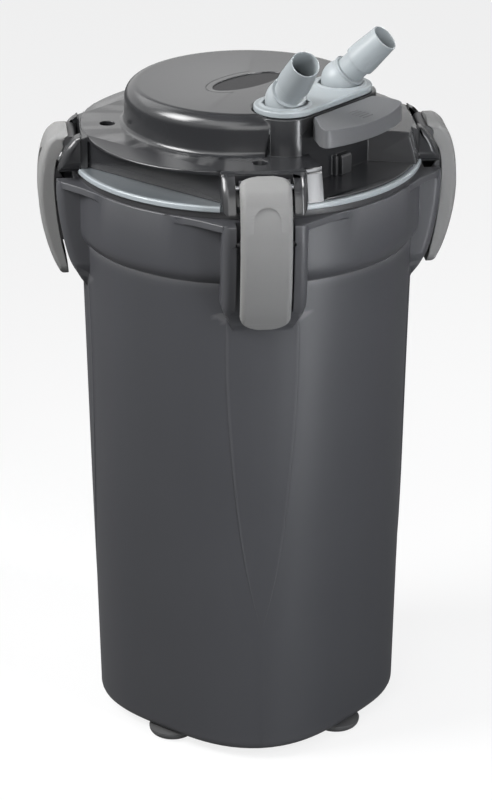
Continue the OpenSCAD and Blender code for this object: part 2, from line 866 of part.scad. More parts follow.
module clamp_frame(turn) {
    half = clamp_w / 2 - clamp_side - seat_gap;
    face = inset(shell_outer, clamp_skin + seat_gap);
    back = inset(shell_outer, clamp_skin + seat_gap + 2.4);
    last = len(shell_outer) - 5;
    nub_z = rim_z - 10.5;
    hook_x = back[16][0] + 1;
    barrel = barrel_round - seat_gap;
    color([0.09, 0.09, 0.1])
    rotate([0, 0, turn])
        difference() {
            union() {
                cross_shaft(pivot, barrel, -clamp_w / 2 + 0.3, clamp_w / 2 - 0.3);
                across(concat([pivot], [for (i = [6:last]) face[i]], [for (i = [last:-1:10]) back[i]]), -half, half);
                // Nubs that snap against the cheeks
                cross_shaft([collar_r + 8.3, nub_z], 1.6, -cheek_in + run_gap, cheek_in - run_gap);
                // Side ribs and the hook
                for (side = [-1, 1])
                    across([face[10], face[14], face[18], face[20], [collar_r + 4.6, rim_z - 38], [collar_r + 4.6, rim_z - 4]],
                        side > 0 ? half - 2 : -half, side > 0 ? half : -half + 2);
                across([[collar_r + 3.2, nub_z - 8], [hook_x, nub_z - 8], [hook_x, nub_z - 4.4], [collar_r + 3.2, nub_z - 4.4]],
                    -half, half);
            }
            cross_shaft(pivot, clamp_pin_r + pin_gap, -half - 10, half + 10);
        }
}

module clamp_pin(turn) {
    color([0.7, 0.71, 0.73])
    rotate([0, 0, turn])
        cross_shaft(pivot, clamp_pin_r, -cheek_in - 3.8, cheek_in + 3.8);
}

// ---------------------------------------------------------------- tap block and lever

module tap_block() {
    collar_out = elbow_r + 2.2;
    color([0.76, 0.8, 0.82])
    tap_frame()
        difference() {
            union() {
                translate([tap_out, 0, plate_z])
                    oblong(tap_half, plate_r, plate_t);
                for (side = [-1, 1])
                    translate([tap_out, side * tap_half, 0]) {
                        translate([0, 0, spigot_bottom])
                            cylinder(r = spigot_r, h = plate_z - spigot_bottom + 1);
                        translate([0, 0, plate_top - 0.01])
                            cylinder(r1 = collar_out + 1, r2 = collar_out, h = 0.7);
                    }
            }
            for (side = [-1, 1])
                translate([tap_out, side * tap_half, 0]) {
                    translate([0, 0, spigot_bottom - 1])
                        cylinder(r = spigot_bore, h = 80);
                    translate([0, 0, plate_top - elbow_plug_l - run_gap])
                        cylinder(r = elbow_plug_r + run_gap, h = 30);
                    // Sunk seat for the elbow's flange
                    translate([0, 0, plate_top - 1.2])
                        cylinder(r = elbow_r + run_gap, h = 10);
                    // Small notches beside the seat
                    for (turn = [45, 225])
                        rotate([0, 0, turn])
                            translate([elbow_r - 0.4, -0.6, plate_top - 0.8])
                                cube([2, 1.2, 4]);
                    // Seal groove
                    seal_groove(spigot_r + run_gap - pin_gap, spigot_seal_r, spigot_bottom + 5);
                }
        }
}

module spigot_seals() {
    color([0.07, 0.07, 0.07])
    tap_frame()
        for (side = [-1, 1])
            translate([tap_out, side * tap_half, 0])
                seal(spigot_r + run_gap - pin_gap, spigot_seal_r, spigot_bottom + 5);
}

// One hose elbow: a plug that turns in the plate, a bend, and a barbed tail
module elbow(side, turn) {
    seat = plate_top - 1.2 + 0.05;
    bend_z = plate_top + bend_up;
    barb_start = tail_l - barb_l;
    color([0.76, 0.8, 0.82])
    tap_frame()
        translate([tap_out, side * tap_half, 0])
            rotate([0, 0, turn + 45])
                difference() {
                    union() {
                        translate([0, 0, plate_top - elbow_plug_l])
                            cylinder(r = elbow_plug_r, h = elbow_plug_l);
                        translate([0, 0, seat])
                            cylinder(r = elbow_r, h = bend_z - seat - 0.5);
                        translate([0, 0, bend_z - 0.5])
                            sphere(r = elbow_r);
                        translate([0, 0, bend_z])
                            rotate([0, 90 - tail_rise, 0]) {
                                cylinder(r1 = elbow_r - 0.6, r2 = barb_r, h = 7);
                                // Ring that ends the elbow, then the thinner neck
                                translate([0, 0, 6.9])
                                    cylinder(r = barb_r + 0.5, h = 2.3);
                                cylinder(r = barb_r - 1.1, h = barb_start + 1);
                                translate([0, 0, barb_start])
                                    cylinder(r = barb_r, h = 4);
                                translate([0, 0, barb_start + 4])
                                    cylinder(r1 = barb_r, r2 = tail_tip_r, h = tail_l - barb_start - 4);
                            }
                    }
                    // The ball of the bend stops at the plate
                    translate([0, 0, plate_top - elbow_plug_l - 20])
                        cylinder(r = 40, h = 20);
                    difference() {
                        translate([0, 0, seat - 20])
                            cylinder(r = 40, h = 20);
                        translate([0, 0, seat - 30])
                            cylinder(r = elbow_plug_r, h = 40);
                    }
                    // Water way
                    translate([0, 0, plate_top - elbow_plug_l - 1])
                        cylinder(r = elbow_bore_r, h = elbow_plug_l + bend_up + 1);
                    translate([0, 0, bend_z])
                        sphere(r = tail_bore_r);
                    translate([0, 0, bend_z])
                        rotate([0, 90 - tail_rise, 0]) {
                            cylinder(r = tail_bore_r, h = tail_l + 1);
                            // Mouth that opens to a thin rim
                            translate([0, 0, tail_l - 5])
                                cylinder(r1 = tail_bore_r, r2 = tail_tip_r - 0.7, h = 6);
                        }
                    // Seal groove in the plug
                    seal_groove(elbow_plug_r + run_gap - pin_gap, elbow_seal_r, plate_top - elbow_plug_l / 2 - 1);
                }
}

module elbow_seal(side) {
    color([0.07, 0.07, 0.07])
    tap_frame()
        translate([tap_out, side * tap_half, 0])
            seal(elbow_plug_r + run_gap - pin_gap, elbow_seal_r, plate_top - elbow_plug_l / 2 - 1);
}

// Plan of the lever in the tap block's frame, drawn in by an inset
module lever_plan(inset) {
    end = lever_half_out - inset;
    reach = lever_reach - inset;
    half_turn = asin(end / reach);
    corner = [reach * cos(half_turn), end];
    shoulder = [lever_hinge[0] + 8, end - 2];
    before = corner - 3.4 * (corner - shoulder) / norm(corner - shoulder);
    after = reach * [cos(half_turn - 2.2), sin(half_turn - 2.2)];
    // A soft corner, then half of the front edge
    side = concat(
        [[lever_hinge[0] - hinge_round, lever_half_in - inset], shoulder],
        [for (t = [0:0.25:1]) (1 - t) * (1 - t) * before + 2 * t * (1 - t) * corner + t * t * after],
        arc([0, 0], reach, half_turn - 4, 0, 8));
    last = len(side) - 1;
    polygon(concat([for (i = [0:last]) [side[i][0], -side[i][1]]], [for (i = [last - 1:-1:0]) side[i]]));
}

module release_lever() {
    x = lever_hinge[0];
    top = lever_hinge[1] + hinge_round;
    lip_z = top - lever_drop - lever_lip;
    far = lever_reach + 12;
    fall = lever_drop / lever_l;
    slot = ear_r + run_gap;
    color([0.33, 0.34, 0.345])
    tap_frame()
        difference() {
            intersection() {
                translate([0, 0, lip_z])
                    linear_extrude(40)
                        lever_plan(0);
                across(concat(
                    [[far, lip_z], [far, top - fall * (far - x)]],
                    arc(lever_hinge, hinge_round, 90, 180, 6),
                    [[x - hinge_round, lip_z]]), -60, 60);
            }
            // Hollow under the skin, round the hinge barrel
            difference() {
                intersection() {
                    translate([0, 0, lip_z - 1])
                        linear_extrude(40)
                            lever_plan(lever_skin);
                    across([[x - hinge_round - 1, lip_z - 1], [far, lip_z - 1],
                        [far, top - lever_skin - fall * (far - x)],
                        [x, top - lever_skin], [x - hinge_round - 1, top - lever_skin]], -60, 60);
                }
                cross_shaft(lever_hinge, hinge_round, -60, 60);
            }
            // Slots for the ears
            for (side = [-1, 1]) {
                y0 = (side > 0 ? ear_y : -ear_y - ear_t) - run_gap;
                y1 = y0 + ear_t + 2 * run_gap;
                cross_shaft(lever_hinge, slot, y0, y1);
                across([[x, lever_hinge[1]], [x - 6, lever_hinge[1] + 3.8], [x - 6, lip_z - 1],
                    [x + 5, lip_z - 1], [x + 4, lever_hinge[1] - 3]], y0, y1);
            }
            cross_shaft(lever_hinge, hinge_pin_r + pin_gap, -ear_y - ear_t - 4, ear_y + ear_t + 4);
        }
}

module lever_pin() {
    color([0.7, 0.71, 0.73])
    tap_frame()
        cross_shaft(lever_hinge, hinge_pin_r, -ear_y - ear_t - 3.5, ear_y + ear_t + 3.5);
}

// ---------------------------------------------------------------- pump

// Duct from the pump to the rear socket, grown or drawn in by an amount
module pump_duct(grow) {
    translate([-pump_out, 0, 0])
        rotate([0, 0, duct_turn])
            translate([0, -duct_w / 2 - grow, duct_z - grow])
                cube([duct_l, duct_w + 2 * grow, duct_h + 2 * grow]);
}

module pump_housing() {
    color([0.12, 0.12, 0.13])
    difference() {
        union() {
            translate(pump_place())
                translate([0, 0, blade_z - 2])
                    cylinder(r = pump_r, h = pan_z - blade_z + 2);
            tap_frame() pump_duct(0);
        }
        tap_frame() pump_duct_way();
        translate(pump_place()) {
            translate([0, 0, blade_z - 3])
                cylinder(r = pump_r - 3, h = duct_z + duct_h - blade_z + 1.5);
            translate([0, 0, blade_z])
                cylinder(r = rotor_can_r, h = 60);
        }
    }
}

// Water way through the duct
module pump_duct_way() {
    translate([-pump_out, 0, 0])
        rotate([0, 0, duct_turn])
            translate([pump_r - 8, -duct_w / 2 + 1.6, duct_z + 1.6])
                cube([duct_l, duct_w - 3.2, duct_h - 3.2]);
}

module motor_stator() {
    color([0.25, 0.12, 0.08])
    translate(pump_place())
        translate([0, 0, ring_z])
            difference() {
                cylinder(r = rotor_can_r + can_wall + 9, h = rotor_l + 2);
                translate([0, 0, -1])
                    cylinder(r = rotor_can_r + can_wall + run_gap, h = rotor_l + 4);
            }
}

module rotor_magnet() {
    color([0.2, 0.2, 0.22])
    translate(pump_place())
        translate([0, 0, rotor_z])
            difference() {
                cylinder(r = rotor_r, h = rotor_l);
                translate([0, 0, -1])
                    cylinder(r = shaft_r + pin_gap, h = rotor_l + 2);
            }
}

module impeller() {
    hub_r = 6;
    color([0.85, 0.86, 0.86])
    translate(pump_place())
        difference() {
            union() {
                translate([0, 0, blade_z + blade_h])
                    cylinder(r = impeller_r, h = 1.8);
                translate([0, 0, blade_z])
                    cylinder(r = hub_r, h = rotor_z - blade_z);
                for (i = [0:blade_count - 1])
                    rotate([0, 0, 360 * i / blade_count])
                        translate([0, 0, blade_z])
                            linear_extrude(blade_h + 0.5)
                                polygon(concat(
                                    arc([0, impeller_r * 0.62], impeller_r * 0.62, -80, 10, 6),
                                    arc([0, impeller_r * 0.62], impeller_r * 0.62 - 1.4, 10, -80, 6)));
            }
            translate([0, 0, blade_z - 1])
                cylinder(r = shaft_r + pin_gap, h = 60);
        }
}

module impeller_shaft() {
    color([0.93, 0.93, 0.9])
    translate(pump_place())
        translate([0, 0, cover_z + 2.2])
            cylinder(r = shaft_r, h = rotor_z + rotor_l + 2 - cover_z - 2.4);
}

module shaft_bushes() {
    color([0.1, 0.1, 0.1])
    translate(pump_place())
        for (z = [cover_z + 2, rotor_z + rotor_l + run_gap])
            translate([0, 0, z])
                difference() {
                    cylinder(r = shaft_r + 2.5, h = 1.6);
                    translate([0, 0, -1])
                        cylinder(r = shaft_r + pin_gap, h = 4);
                }
}

module pump_cover() {
    inlet_r = 9;
    color([0.16, 0.16, 0.17])
    translate(pump_place())
        difference() {
            translate([0, 0, cover_z])
                cylinder(r = pump_r, h = blade_z - 2 - cover_z);
            translate([0, 0, cover_z + 2])
                cylinder(r = pump_r - 3, h = 20);
            for (i = [0:5])
                rotate([0, 0, 60 * i])
                    translate([inlet_r + 1, 0, cover_z - 1])
                        cylinder(r = 3, h = 4);
        }
}

// ---------------------------------------------------------------- media

// Plan of a basket, with the hole for the water channel
module basket_plan(inset, hole_r) {
    difference() {
        polygon(base_outline(basket_r - inset));
        rotate(-45)
            translate(channel_pos)
                circle(r = hole_r);
    }
}

module media_basket(level) {
    channel_out = channel_r + channel_wall;
    color([0.2, 0.21, 0.23])
    translate([0, 0, basket_z + (level - 1) * basket_pitch])
        difference() {
            linear_extrude(basket_h)
                basket_plan(0, channel_r);
            // Room for the media
            translate([0, 0, 2])
                linear_extrude(basket_h)
                    basket_plan(basket_wall, channel_out);
            // Holes for the handle's pivots in the top basket
            if (level == 4) handle_pivots(pin_gap);
            // Slots in the floor
            for (x = [-60:12:60])
                if (abs(x) < basket_r - 15)
                    translate([x - 2, x > 10 ? -12 : -50, -1])
                        cube([4, x > 10 ? 60 : 100, 4]);
        }
}

// A block of media that fills a basket to a given height
module media_fill(level, from, height) {
    translate([0, 0, basket_z + (level - 1) * basket_pitch + 2 + from])
        linear_extrude(height)
            basket_plan(basket_wall + 0.5, channel_r + channel_wall + 0.5);
}

// The handle's two pivots, through the walls of a basket
module handle_pivots(grow) {
    reach = basket_r * (1 - base_corner);
    rotate([0, 0, 45])
        cross_shaft_x([basket_h - 6], 2 + grow, -reach - 0.2 + 0.5, reach - 0.3);
}

// A shaft along X at a height
module cross_shaft_x(at, r, x0, x1) {
    translate([x0, 0, at[0]])
        rotate([0, 90, 0])
            cylinder(r = r, h = x1 - x0);
}

module basket_handle() {
    top = basket_z + 3 * basket_pitch + basket_h;
    reach = basket_r * (1 - base_corner) - basket_wall - seat_gap;
    bar_w = 12;
    drop = 12;
    color([0.35, 0.36, 0.37]) {
        rotate([0, 0, 45])
            translate([0, 0, top - drop - 0.4])
                difference() {
                    translate([-reach, -bar_w / 2, 0])
                        cube([2 * reach, bar_w, drop]);
                    translate([-reach + 3, -bar_w / 2 - 1, -1])
                        cube([2 * reach - 6, bar_w + 2, drop - 2]);
                }
        difference() {
            translate([0, 0, basket_z + 3 * basket_pitch])
                handle_pivots(0);
            rotate([0, 0, 45])
                translate([-reach + 2, -bar_w, top - drop - 4])
                    cube([2 * reach - 4, 2 * bar_w, drop + 8]);
        }
    }
}

canister_body();
feet();
head_housing();
head_base();
seal_ring();
head_gasket();
head_screws();
badge_plate();
cable_gland();
clamp_shell(-90);  // clamp_shell_front
clamp_shell(0);  // clamp_shell_right
clamp_shell(90);  // clamp_shell_back
clamp_shell(180);  // clamp_shell_left
clamp_frame(-90);  // clamp_frame_front
clamp_frame(0);  // clamp_frame_right
clamp_frame(90);  // clamp_frame_back
clamp_frame(180);  // clamp_frame_left
clamp_pin(-90);  // clamp_pin_front
clamp_pin(0);  // clamp_pin_right
clamp_pin(90);  // clamp_pin_back
clamp_pin(180);  // clamp_pin_left
tap_block();
spigot_seals();
elbow(-1, front_tail_turn);  // front_elbow
elbow(1, rear_tail_turn);  // rear_elbow
elbow_seal(-1);  // front_elbow_seal
elbow_seal(1);  // rear_elbow_seal
release_lever();
lever_pin();
pump_housing();
motor_stator();
rotor_magnet();
impeller();
impeller_shaft();
shaft_bushes();
pump_cover();
media_basket(1);  // media_basket_1
media_basket(2);  // media_basket_2
media_basket(3);  // media_basket_3
media_basket(4);  // media_basket_4
color([0.9, 0.88, 0.82]) media_fill(1, 0.2, 55);  // ceramic_media
color([0.82, 0.78, 0.7]) media_fill(2, 0.2, 55);  // bio_media
color([0.2, 0.35, 0.6]) media_fill(3, 0.2, 55);  // coarse_sponge
color([0.95, 0.95, 0.94]) media_fill(4, 0.2, 40);  // fine_pad
basket_handle();
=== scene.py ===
# %% [markdown]
# # Canister filter
# A large aquarium filter stands on four rubber feet. Its barrel starts as a rounded square and ends round,
# a stepped collar carries four clamps, and the glossy pump head holds a lift-out tap block with two hose tails.
# The CAD model is the frame: each piece here sits on it, or stands for one of its nodes.

# %% Load the frame
import math
import bmesh
import bpy
from mathutils import Matrix, Vector, noise


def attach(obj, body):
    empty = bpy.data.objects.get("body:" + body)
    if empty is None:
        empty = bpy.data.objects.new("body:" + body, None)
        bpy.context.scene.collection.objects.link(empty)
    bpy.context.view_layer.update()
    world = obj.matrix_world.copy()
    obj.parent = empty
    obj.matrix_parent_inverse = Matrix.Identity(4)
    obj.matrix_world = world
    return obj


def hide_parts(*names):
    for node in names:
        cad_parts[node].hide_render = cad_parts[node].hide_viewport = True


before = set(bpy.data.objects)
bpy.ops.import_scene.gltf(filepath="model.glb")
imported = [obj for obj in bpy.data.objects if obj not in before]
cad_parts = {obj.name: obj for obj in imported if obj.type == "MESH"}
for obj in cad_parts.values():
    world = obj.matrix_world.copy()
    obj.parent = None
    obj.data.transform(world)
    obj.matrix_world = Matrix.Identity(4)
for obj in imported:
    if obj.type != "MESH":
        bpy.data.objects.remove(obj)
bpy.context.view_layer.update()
scene = bpy.context.scene
MM = 0.001

# %% [markdown]
# ## Camera, light and floor
# A long lens from well above the head keeps the upright sides almost parallel. Black plastic shows what
# stands round it more than its own colour, so each lamp has one job: a big key and a front box give the barrel
# its even grey, a box at the left and a small lamp high at the right lift the head, a narrow strip low at the
# right draws one upright highlight, and two boxes behind keep the far side from going black.

# %% Camera
IMAGE_W, SHIFT_PX = 492, -0.7
PITCH, SWING = 0.395, math.radians(-5.5)
camera = bpy.data.objects.new("camera", bpy.data.cameras.new("camera"))
scene.collection.objects.link(camera)
camera.location = (-0.1610, -1.6724, 0.8918)
camera.rotation_euler = (math.pi / 2 - PITCH, 0, SWING)
camera.data.sensor_fit = "HORIZONTAL"
camera.data.sensor_width = 36
camera.data.lens = 226.55
camera.data.shift_x = SHIFT_PX / IMAGE_W
scene.camera = camera
scene.view_settings.view_transform = "Standard"


# %% Soft boxes
def soft_box(name, azimuth, height, distance, width, tall, power, aim=0.30, spread=180, colour=(1, 1, 1)):
    """A square lamp at an azimuth from the front, in degrees, that looks at a height of the filter."""
    lamp = bpy.data.lights.new(name, "AREA")
    lamp.shape = "RECTANGLE"
    lamp.size, lamp.size_y = width, tall
    lamp.energy = power
    lamp.color = colour
    lamp.spread = math.radians(spread)
    box = bpy.data.objects.new(name, lamp)
    a = math.radians(azimuth)
    box.location = (distance * math.sin(a), -distance * math.cos(a), height)
    box.rotation_euler = (Vector((0, 0, aim)) - box.location).to_track_quat("-Z", "Y").to_euler()
    box.visible_camera = False
    scene.collection.objects.link(box)


soft_box("key", -30, 1.5, 1.4, 1.1, 1.0, 11)
soft_box("front", -6, 0.8, 2.0, 1.3, 0.9, 9.5, aim=0.25)
soft_box("left", -80, 1.0, 0.8, 0.5, 0.6, 3.4, aim=0.42, spread=70)
soft_box("strip", 36, 0.32, 0.62, 0.09, 0.62, 2.9, colour=(0.95, 0.97, 1))
soft_box("top_right", 62, 1.3, 0.8, 0.25, 0.25, 0.2, aim=0.42, spread=16)
soft_box("right_back", 125, 1.9, 1.0, 1.2, 0.8, 4.5, aim=0.35)
soft_box("left_back", -140, 1.5, 1.4, 1.2, 0.8, 7, aim=0.35)


# %% [markdown]
# ## Shader sums as Python
# A finish is easier to read as arithmetic than as a list of links. One small class wraps a socket, so that
# `0.4 + 0.1 * grain` adds the Math nodes by itself.


# %% Socket sums
class Socket:
    """An output socket that Python's operators do sums with."""

    def __init__(self, tree, output):
        self.tree = tree
        self.output = output

    def sum(self, operation, *values):
        return add_node(self.tree, "ShaderNodeMath", {"operation": operation}, values)

    def __add__(self, other):
        return self.sum("ADD", self, other)

    def __sub__(self, other):
        return self.sum("SUBTRACT", self, other)

    def __mul__(self, other):
        return self.sum("MULTIPLY", self, other)

    __radd__ = __add__
    __rmul__ = __mul__


def plug(tree, socket, value):
    if isinstance(value, Socket):
        tree.links.new(value.output, socket)
    elif hasattr(socket.default_value, "__len__") and not hasattr(value, "__len__"):
        socket.default_value = [value] * len(socket.default_value)
    else:
        socket.default_value = value


def add_node(tree, kind, settings=None, values=(), output=0):
    """Adds one node: its settings first, then values or links for its sockets, by order or by name."""
    node = tree.nodes.new(kind)
    for key, value in (settings or {}).items():
        if key == "stops":
            ramp = node.color_ramp.elements
            while len(ramp) < len(value):
                ramp.new(0.5)
            for stop, (at, tone) in zip(ramp, value):
                stop.position, stop.color = at, tone
        else:
            setattr(node, key, value)
    pairs = values.items() if isinstance(values, dict) else enumerate(values)
    for key, value in pairs:
        plug(tree, node.inputs[key], value)
    return Socket(tree, node.outputs[output])


# %% Nodes that the finishes share
def new_material(name):
    """A material with its tree, its main shader, and the place on the piece that textures start from."""
    material = bpy.data.materials.new(name)
    material.use_nodes = True
    tree = material.node_tree
    return material, tree, tree.nodes["Principled BSDF"], add_node(tree, "ShaderNodeTexCoord", output="Object")


def noise_node(tree, place, scale, detail):
    return add_node(tree, "ShaderNodeTexNoise", {}, {"Vector": place, "Scale": scale, "Detail": detail})


def mix_colours(tree, share, first, second):
    return add_node(tree, "ShaderNodeMix", {"data_type": "RGBA"}, {0: share, 6: first, 7: second}, output=2)


def bump_node(tree, height, depth_mm):
    return add_node(tree, "ShaderNodeBump", {}, {"Strength": 1.0, "Distance": depth_mm * MM, "Height": height})


# %% [markdown]
# ## World and floor
# The background is white, but a white world all round would turn black plastic grey. So the white is kept
# apart from the light: rays from the camera see it everywhere, and rays that bounced off gloss or went through
# something clear see it as a low backdrop along the horizon. All other light comes from a dim world. The floor
# does the same: it is pale to the eye, keeps the shadow, and throws little light back on the barrel.


# %% World
BACKDROP_FADE = (0.44, 0.53)


def ray_kinds(tree):
    """Masks for rays from the camera, and for rays that show the background in gloss or glass."""
    camera_ray = add_node(tree, "ShaderNodeLightPath", output="Is Camera Ray")
    glossy_ray = add_node(tree, "ShaderNodeLightPath", output="Is Glossy Ray")
    clear_ray = add_node(tree, "ShaderNodeLightPath", output="Is Transmission Ray")
    return camera_ray, glossy_ray + clear_ray


def make_world():
    world = bpy.data.worlds.new("studio")
    scene.world = world
    world.use_nodes = True
    tree = world.node_tree
    dim = Socket(tree, tree.nodes["Background"].outputs[0])
    plug(tree, tree.nodes["Background"].inputs[0], (0.92, 0.95, 1, 1))
    plug(tree, tree.nodes["Background"].inputs[1], 0.14)
    camera_ray, mirrored = ray_kinds(tree)
    way = add_node(tree, "ShaderNodeTexCoord", output="Generated")
    height = add_node(tree, "ShaderNodeSeparateXYZ", {}, (way,), output=2)
    backdrop = add_node(tree, "ShaderNodeMapRange", {}, (height, *BACKDROP_FADE, 1, 0))
    white = add_node(tree, "ShaderNodeBackground", {}, {"Color": (1, 1, 1, 1), "Strength": 1.0})
    seen = add_node(tree, "ShaderNodeMath", {"operation": "ADD", "use_clamp": True},
                    (camera_ray, mirrored * backdrop))
    mixed = add_node(tree, "ShaderNodeMixShader", {}, (seen, dim, white))
    tree.links.new(mixed.output, tree.nodes["World Output"].inputs[0])


make_world()


# %% Floor
def floor_finish():
    material, tree, shader, place = new_material("pale_floor")
    camera_ray, mirrored = ray_kinds(tree)
    glow = add_node(tree, "ShaderNodeEmission", {}, {"Color": (1, 1, 1, 1), "Strength": 1.0})
    both = add_node(tree, "ShaderNodeMixShader", {}, {0: camera_ray * 0.80 + mirrored * 0.06,
                                                      1: Socket(tree, shader.outputs[0]), 2: glow})
    tone = mix_colours(tree, camera_ray, (0.12, 0.12, 0.12, 1), (0.86, 0.86, 0.86, 1))
    cloud = noise_node(tree, place, 3.0, 2.0)
    plug(tree, shader.inputs["Base Color"], tone)
    plug(tree, shader.inputs["Roughness"], 0.8 + 0.1 * cloud)
    tree.links.new(both.output, tree.nodes["Material Output"].inputs[0])
    return material


def make_floor():
    mesh = bpy.data.meshes.new("floor")
    far = 12
    mesh.from_pydata([(-far, -far, 0), (far, -far, 0), (far, far, 0), (-far, far, 0)], [], [(0, 1, 2, 3)])
    floor = bpy.data.objects.new("floor", mesh)
    floor.data.materials.append(floor_finish())
    scene.collection.objects.link(floor)


make_floor()

# %% [markdown]
# ## Finishes
# The real parts are injection-moulded plastic: a satin barrel with a very fine spark-eroded grain, a smoother,
# glossier head, soft-touch clamps and pale fittings. Each finish has a grain at its true scale in the bump,
# a slow drift in colour and roughness, and lighter rubbed edges where hands and boxes touch.


# %% Moulded plastic
def moulded(name, colour, roughness, grain_mm, grain_depth, drift=0.06, wear=0.05, streak=0.0, gloss=0.5):
    """A plastic whose grain is grain_mm wide and grain_depth millimetres deep."""
    material, tree, shader, place = new_material(name)
    grain = noise_node(tree, place, 1 / (grain_mm * MM), 2.0)
    cloud = noise_node(tree, place, 16.0, 3.0)
    flow_place = add_node(tree, "ShaderNodeMapping", {}, {"Vector": place, "Scale": (40, 40, 4)})
    flow = noise_node(tree, flow_place, 1.0, 4.0)
    edge = add_node(tree, "ShaderNodeNewGeometry", output="Pointiness")
    rubbed = add_node(tree, "ShaderNodeMath", {"operation": "MULTIPLY", "use_clamp": True}, (edge - 0.505, 14.0))
    shade = 1 + drift * (cloud - 0.5) * 2 + streak * (flow - 0.5) * 2 + (grain - 0.5) * drift
    plain = add_node(tree, "ShaderNodeVectorMath", {"operation": "SCALE"}, {0: colour, "Scale": shade})
    worn = mix_colours(tree, rubbed * wear * (0.4 + cloud), plain, (0.5, 0.5, 0.5, 1))
    plug(tree, shader.inputs["Base Color"], worn)
    plug(tree, shader.inputs["Roughness"], roughness + 0.10 * (cloud - 0.5) + 0.05 * (grain - 0.5) - 0.05 * rubbed)
    plug(tree, shader.inputs["Normal"], bump_node(tree, grain, grain_depth))
    shader.inputs["Specular IOR Level"].default_value = gloss
    return material


body_satin = moulded("body_satin", (0.045, 0.046, 0.051), 0.42, 0.45, 0.010, drift=0.05, wear=0.10,
                     streak=0.05, gloss=0.45)
head_gloss = moulded("head_gloss", (0.016, 0.0165, 0.018), 0.24, 0.5, 0.004, drift=0.05, wear=0.08)
pale_satin = moulded("pale_satin", (0.235, 0.257, 0.268), 0.42, 0.6, 0.008, drift=0.02, wear=0.0, gloss=0.4)
clamp_soft = moulded("clamp_soft", (0.176, 0.176, 0.174), 0.60, 0.55, 0.022, drift=0.05, wear=0.10, gloss=0.18)
lever_satin = moulded("lever_satin", (0.074, 0.076, 0.080), 0.48, 0.45, 0.014, drift=0.04, wear=0.10)
black_satin = moulded("black_satin", (0.014, 0.014, 0.016), 0.45, 0.5, 0.012, drift=0.05, wear=0.04)
badge_gloss = moulded("badge_gloss", (0.012, 0.012, 0.013), 0.30, 0.5, 0.002, drift=0.05, wear=0.0, gloss=0.05)
rubber = moulded("rubber", (0.065, 0.065, 0.066), 0.8, 0.9, 0.04, drift=0.10, wear=0.03)
basket_plastic = moulded("basket_plastic", (0.045, 0.05, 0.056), 0.5, 0.6, 0.02)
potting = moulded("potting", (0.10, 0.045, 0.028), 0.35, 2.5, 0.05, drift=0.15)
ceramic = moulded("ceramic", (0.80, 0.80, 0.76), 0.3, 0.3, 0.006, drift=0.02, wear=0.0)
porous = moulded("porous", (0.70, 0.66, 0.58), 0.9, 0.8, 0.15, drift=0.12, wear=0.0)
magnet = moulded("magnet", (0.08, 0.08, 0.088), 0.35, 0.5, 0.01)
print("plastics:", len(bpy.data.materials))


# %% Seal ring
RIM_FADE = (0.0968, 0.0986)


def ring_finish():
    """Dull grey on the flat of the ring, which is painted shade from the recess above it, and the ring's own paler
    colour along its rounded rim.
    """
    # The dark base colour here is painted shade on the flat; the ring itself is pale, as its rim shows.
    material = moulded("ring_painted_shade", (0.085, 0.095, 0.102), 0.34, 0.6, 0.006, drift=0.03, wear=0.0, gloss=0.5)
    tree = material.node_tree
    colour = tree.nodes["Principled BSDF"].inputs["Base Color"]
    plain = Socket(tree, colour.links[0].from_socket)
    place = add_node(tree, "ShaderNodeTexCoord", output="Object")
    across = add_node(tree, "ShaderNodeVectorMath", {"operation": "MULTIPLY"}, (place, (1, 1, 0)))
    radius = add_node(tree, "ShaderNodeVectorMath", {"operation": "LENGTH"}, (across,), output=1)
    rim = add_node(tree, "ShaderNodeMapRange", {}, (radius, *RIM_FADE, 0, 1))
    plug(tree, colour, mix_colours(tree, rim, plain, (0.26, 0.285, 0.30, 1)))
    return material


ring_painted_shade = ring_finish()


# %% Steel
def turned_steel():
    material, tree, shader, place = new_material("steel")
    ring = noise_node(tree, place, 2500.0, 1.0)
    stops = [(0.3, (0.45, 0.46, 0.48, 1)), (0.7, (0.62, 0.63, 0.65, 1))]
    tone = add_node(tree, "ShaderNodeValToRGB", {"stops": stops}, (ring,))
    shader.inputs["Metallic"].default_value = 1
    plug(tree, shader.inputs["Base Color"], tone)
    plug(tree, shader.inputs["Roughness"], 0.28 + 0.12 * ring)
    return material


steel = turned_steel()


# %% Open foam and floss
def foam(name, colour, cell_mm, depth_mm):
    material, tree, shader, place = new_material(name)
    cells = add_node(tree, "ShaderNodeTexVoronoi", {"feature": "F1"}, {"Vector": place, "Scale": 1 / (cell_mm * MM)})
    cloud = noise_node(tree, place, 40.0, 3.0)
    shade = (0.35 + 0.9 * cells) * (0.8 + 0.4 * cloud)
    tone = add_node(tree, "ShaderNodeVectorMath", {"operation": "SCALE"}, {0: colour, "Scale": shade})
    plug(tree, shader.inputs["Base Color"], tone)
    plug(tree, shader.inputs["Normal"], bump_node(tree, cells, depth_mm))
    shader.inputs["Roughness"].default_value = 0.95
    return material


blue_foam = foam("blue_foam", (0.06, 0.16, 0.42), 1.6, 0.7)
white_floss = foam("white_floss", (0.86, 0.86, 0.84), 0.5, 0.25)


# %% [markdown]
# ## Mesh helpers
# Almost every piece of this filter is a profile that was spun, pushed or lofted. One helper, `loft`, joins
# rings of points, and the others make the rings. Cuts and unions are Blender's exact booleans, and a small
# bevel on every remaining sharp edge gives the moulded look.


# %% Profiles
def arc(cx, cy, r, a0, a1, n):
    """Points on an arc, in degrees."""
    angles = [math.radians(a0 + (a1 - a0) * i / n) for i in range(n + 1)]
    return [(cx + r * math.cos(a), cy + r * math.sin(a)) for a in angles]


def curve(points, n=4):
    """A smooth line through a row of points."""
    out = []
    last = len(points) - 1
    for i in range(last):
        a, b, c, d = (Vector(points[max(0, min(last, j))]) for j in (i - 1, i, i + 1, i + 2))
        for k in range(n + (i == last - 1)):
            t = k / n
            p = 0.5 * (2 * b + (c - a) * t + (2 * a - 5 * b + 4 * c - d) * t * t + (3 * b - a - 3 * c + d) * t ** 3)
            out.append(tuple(p))
    return out


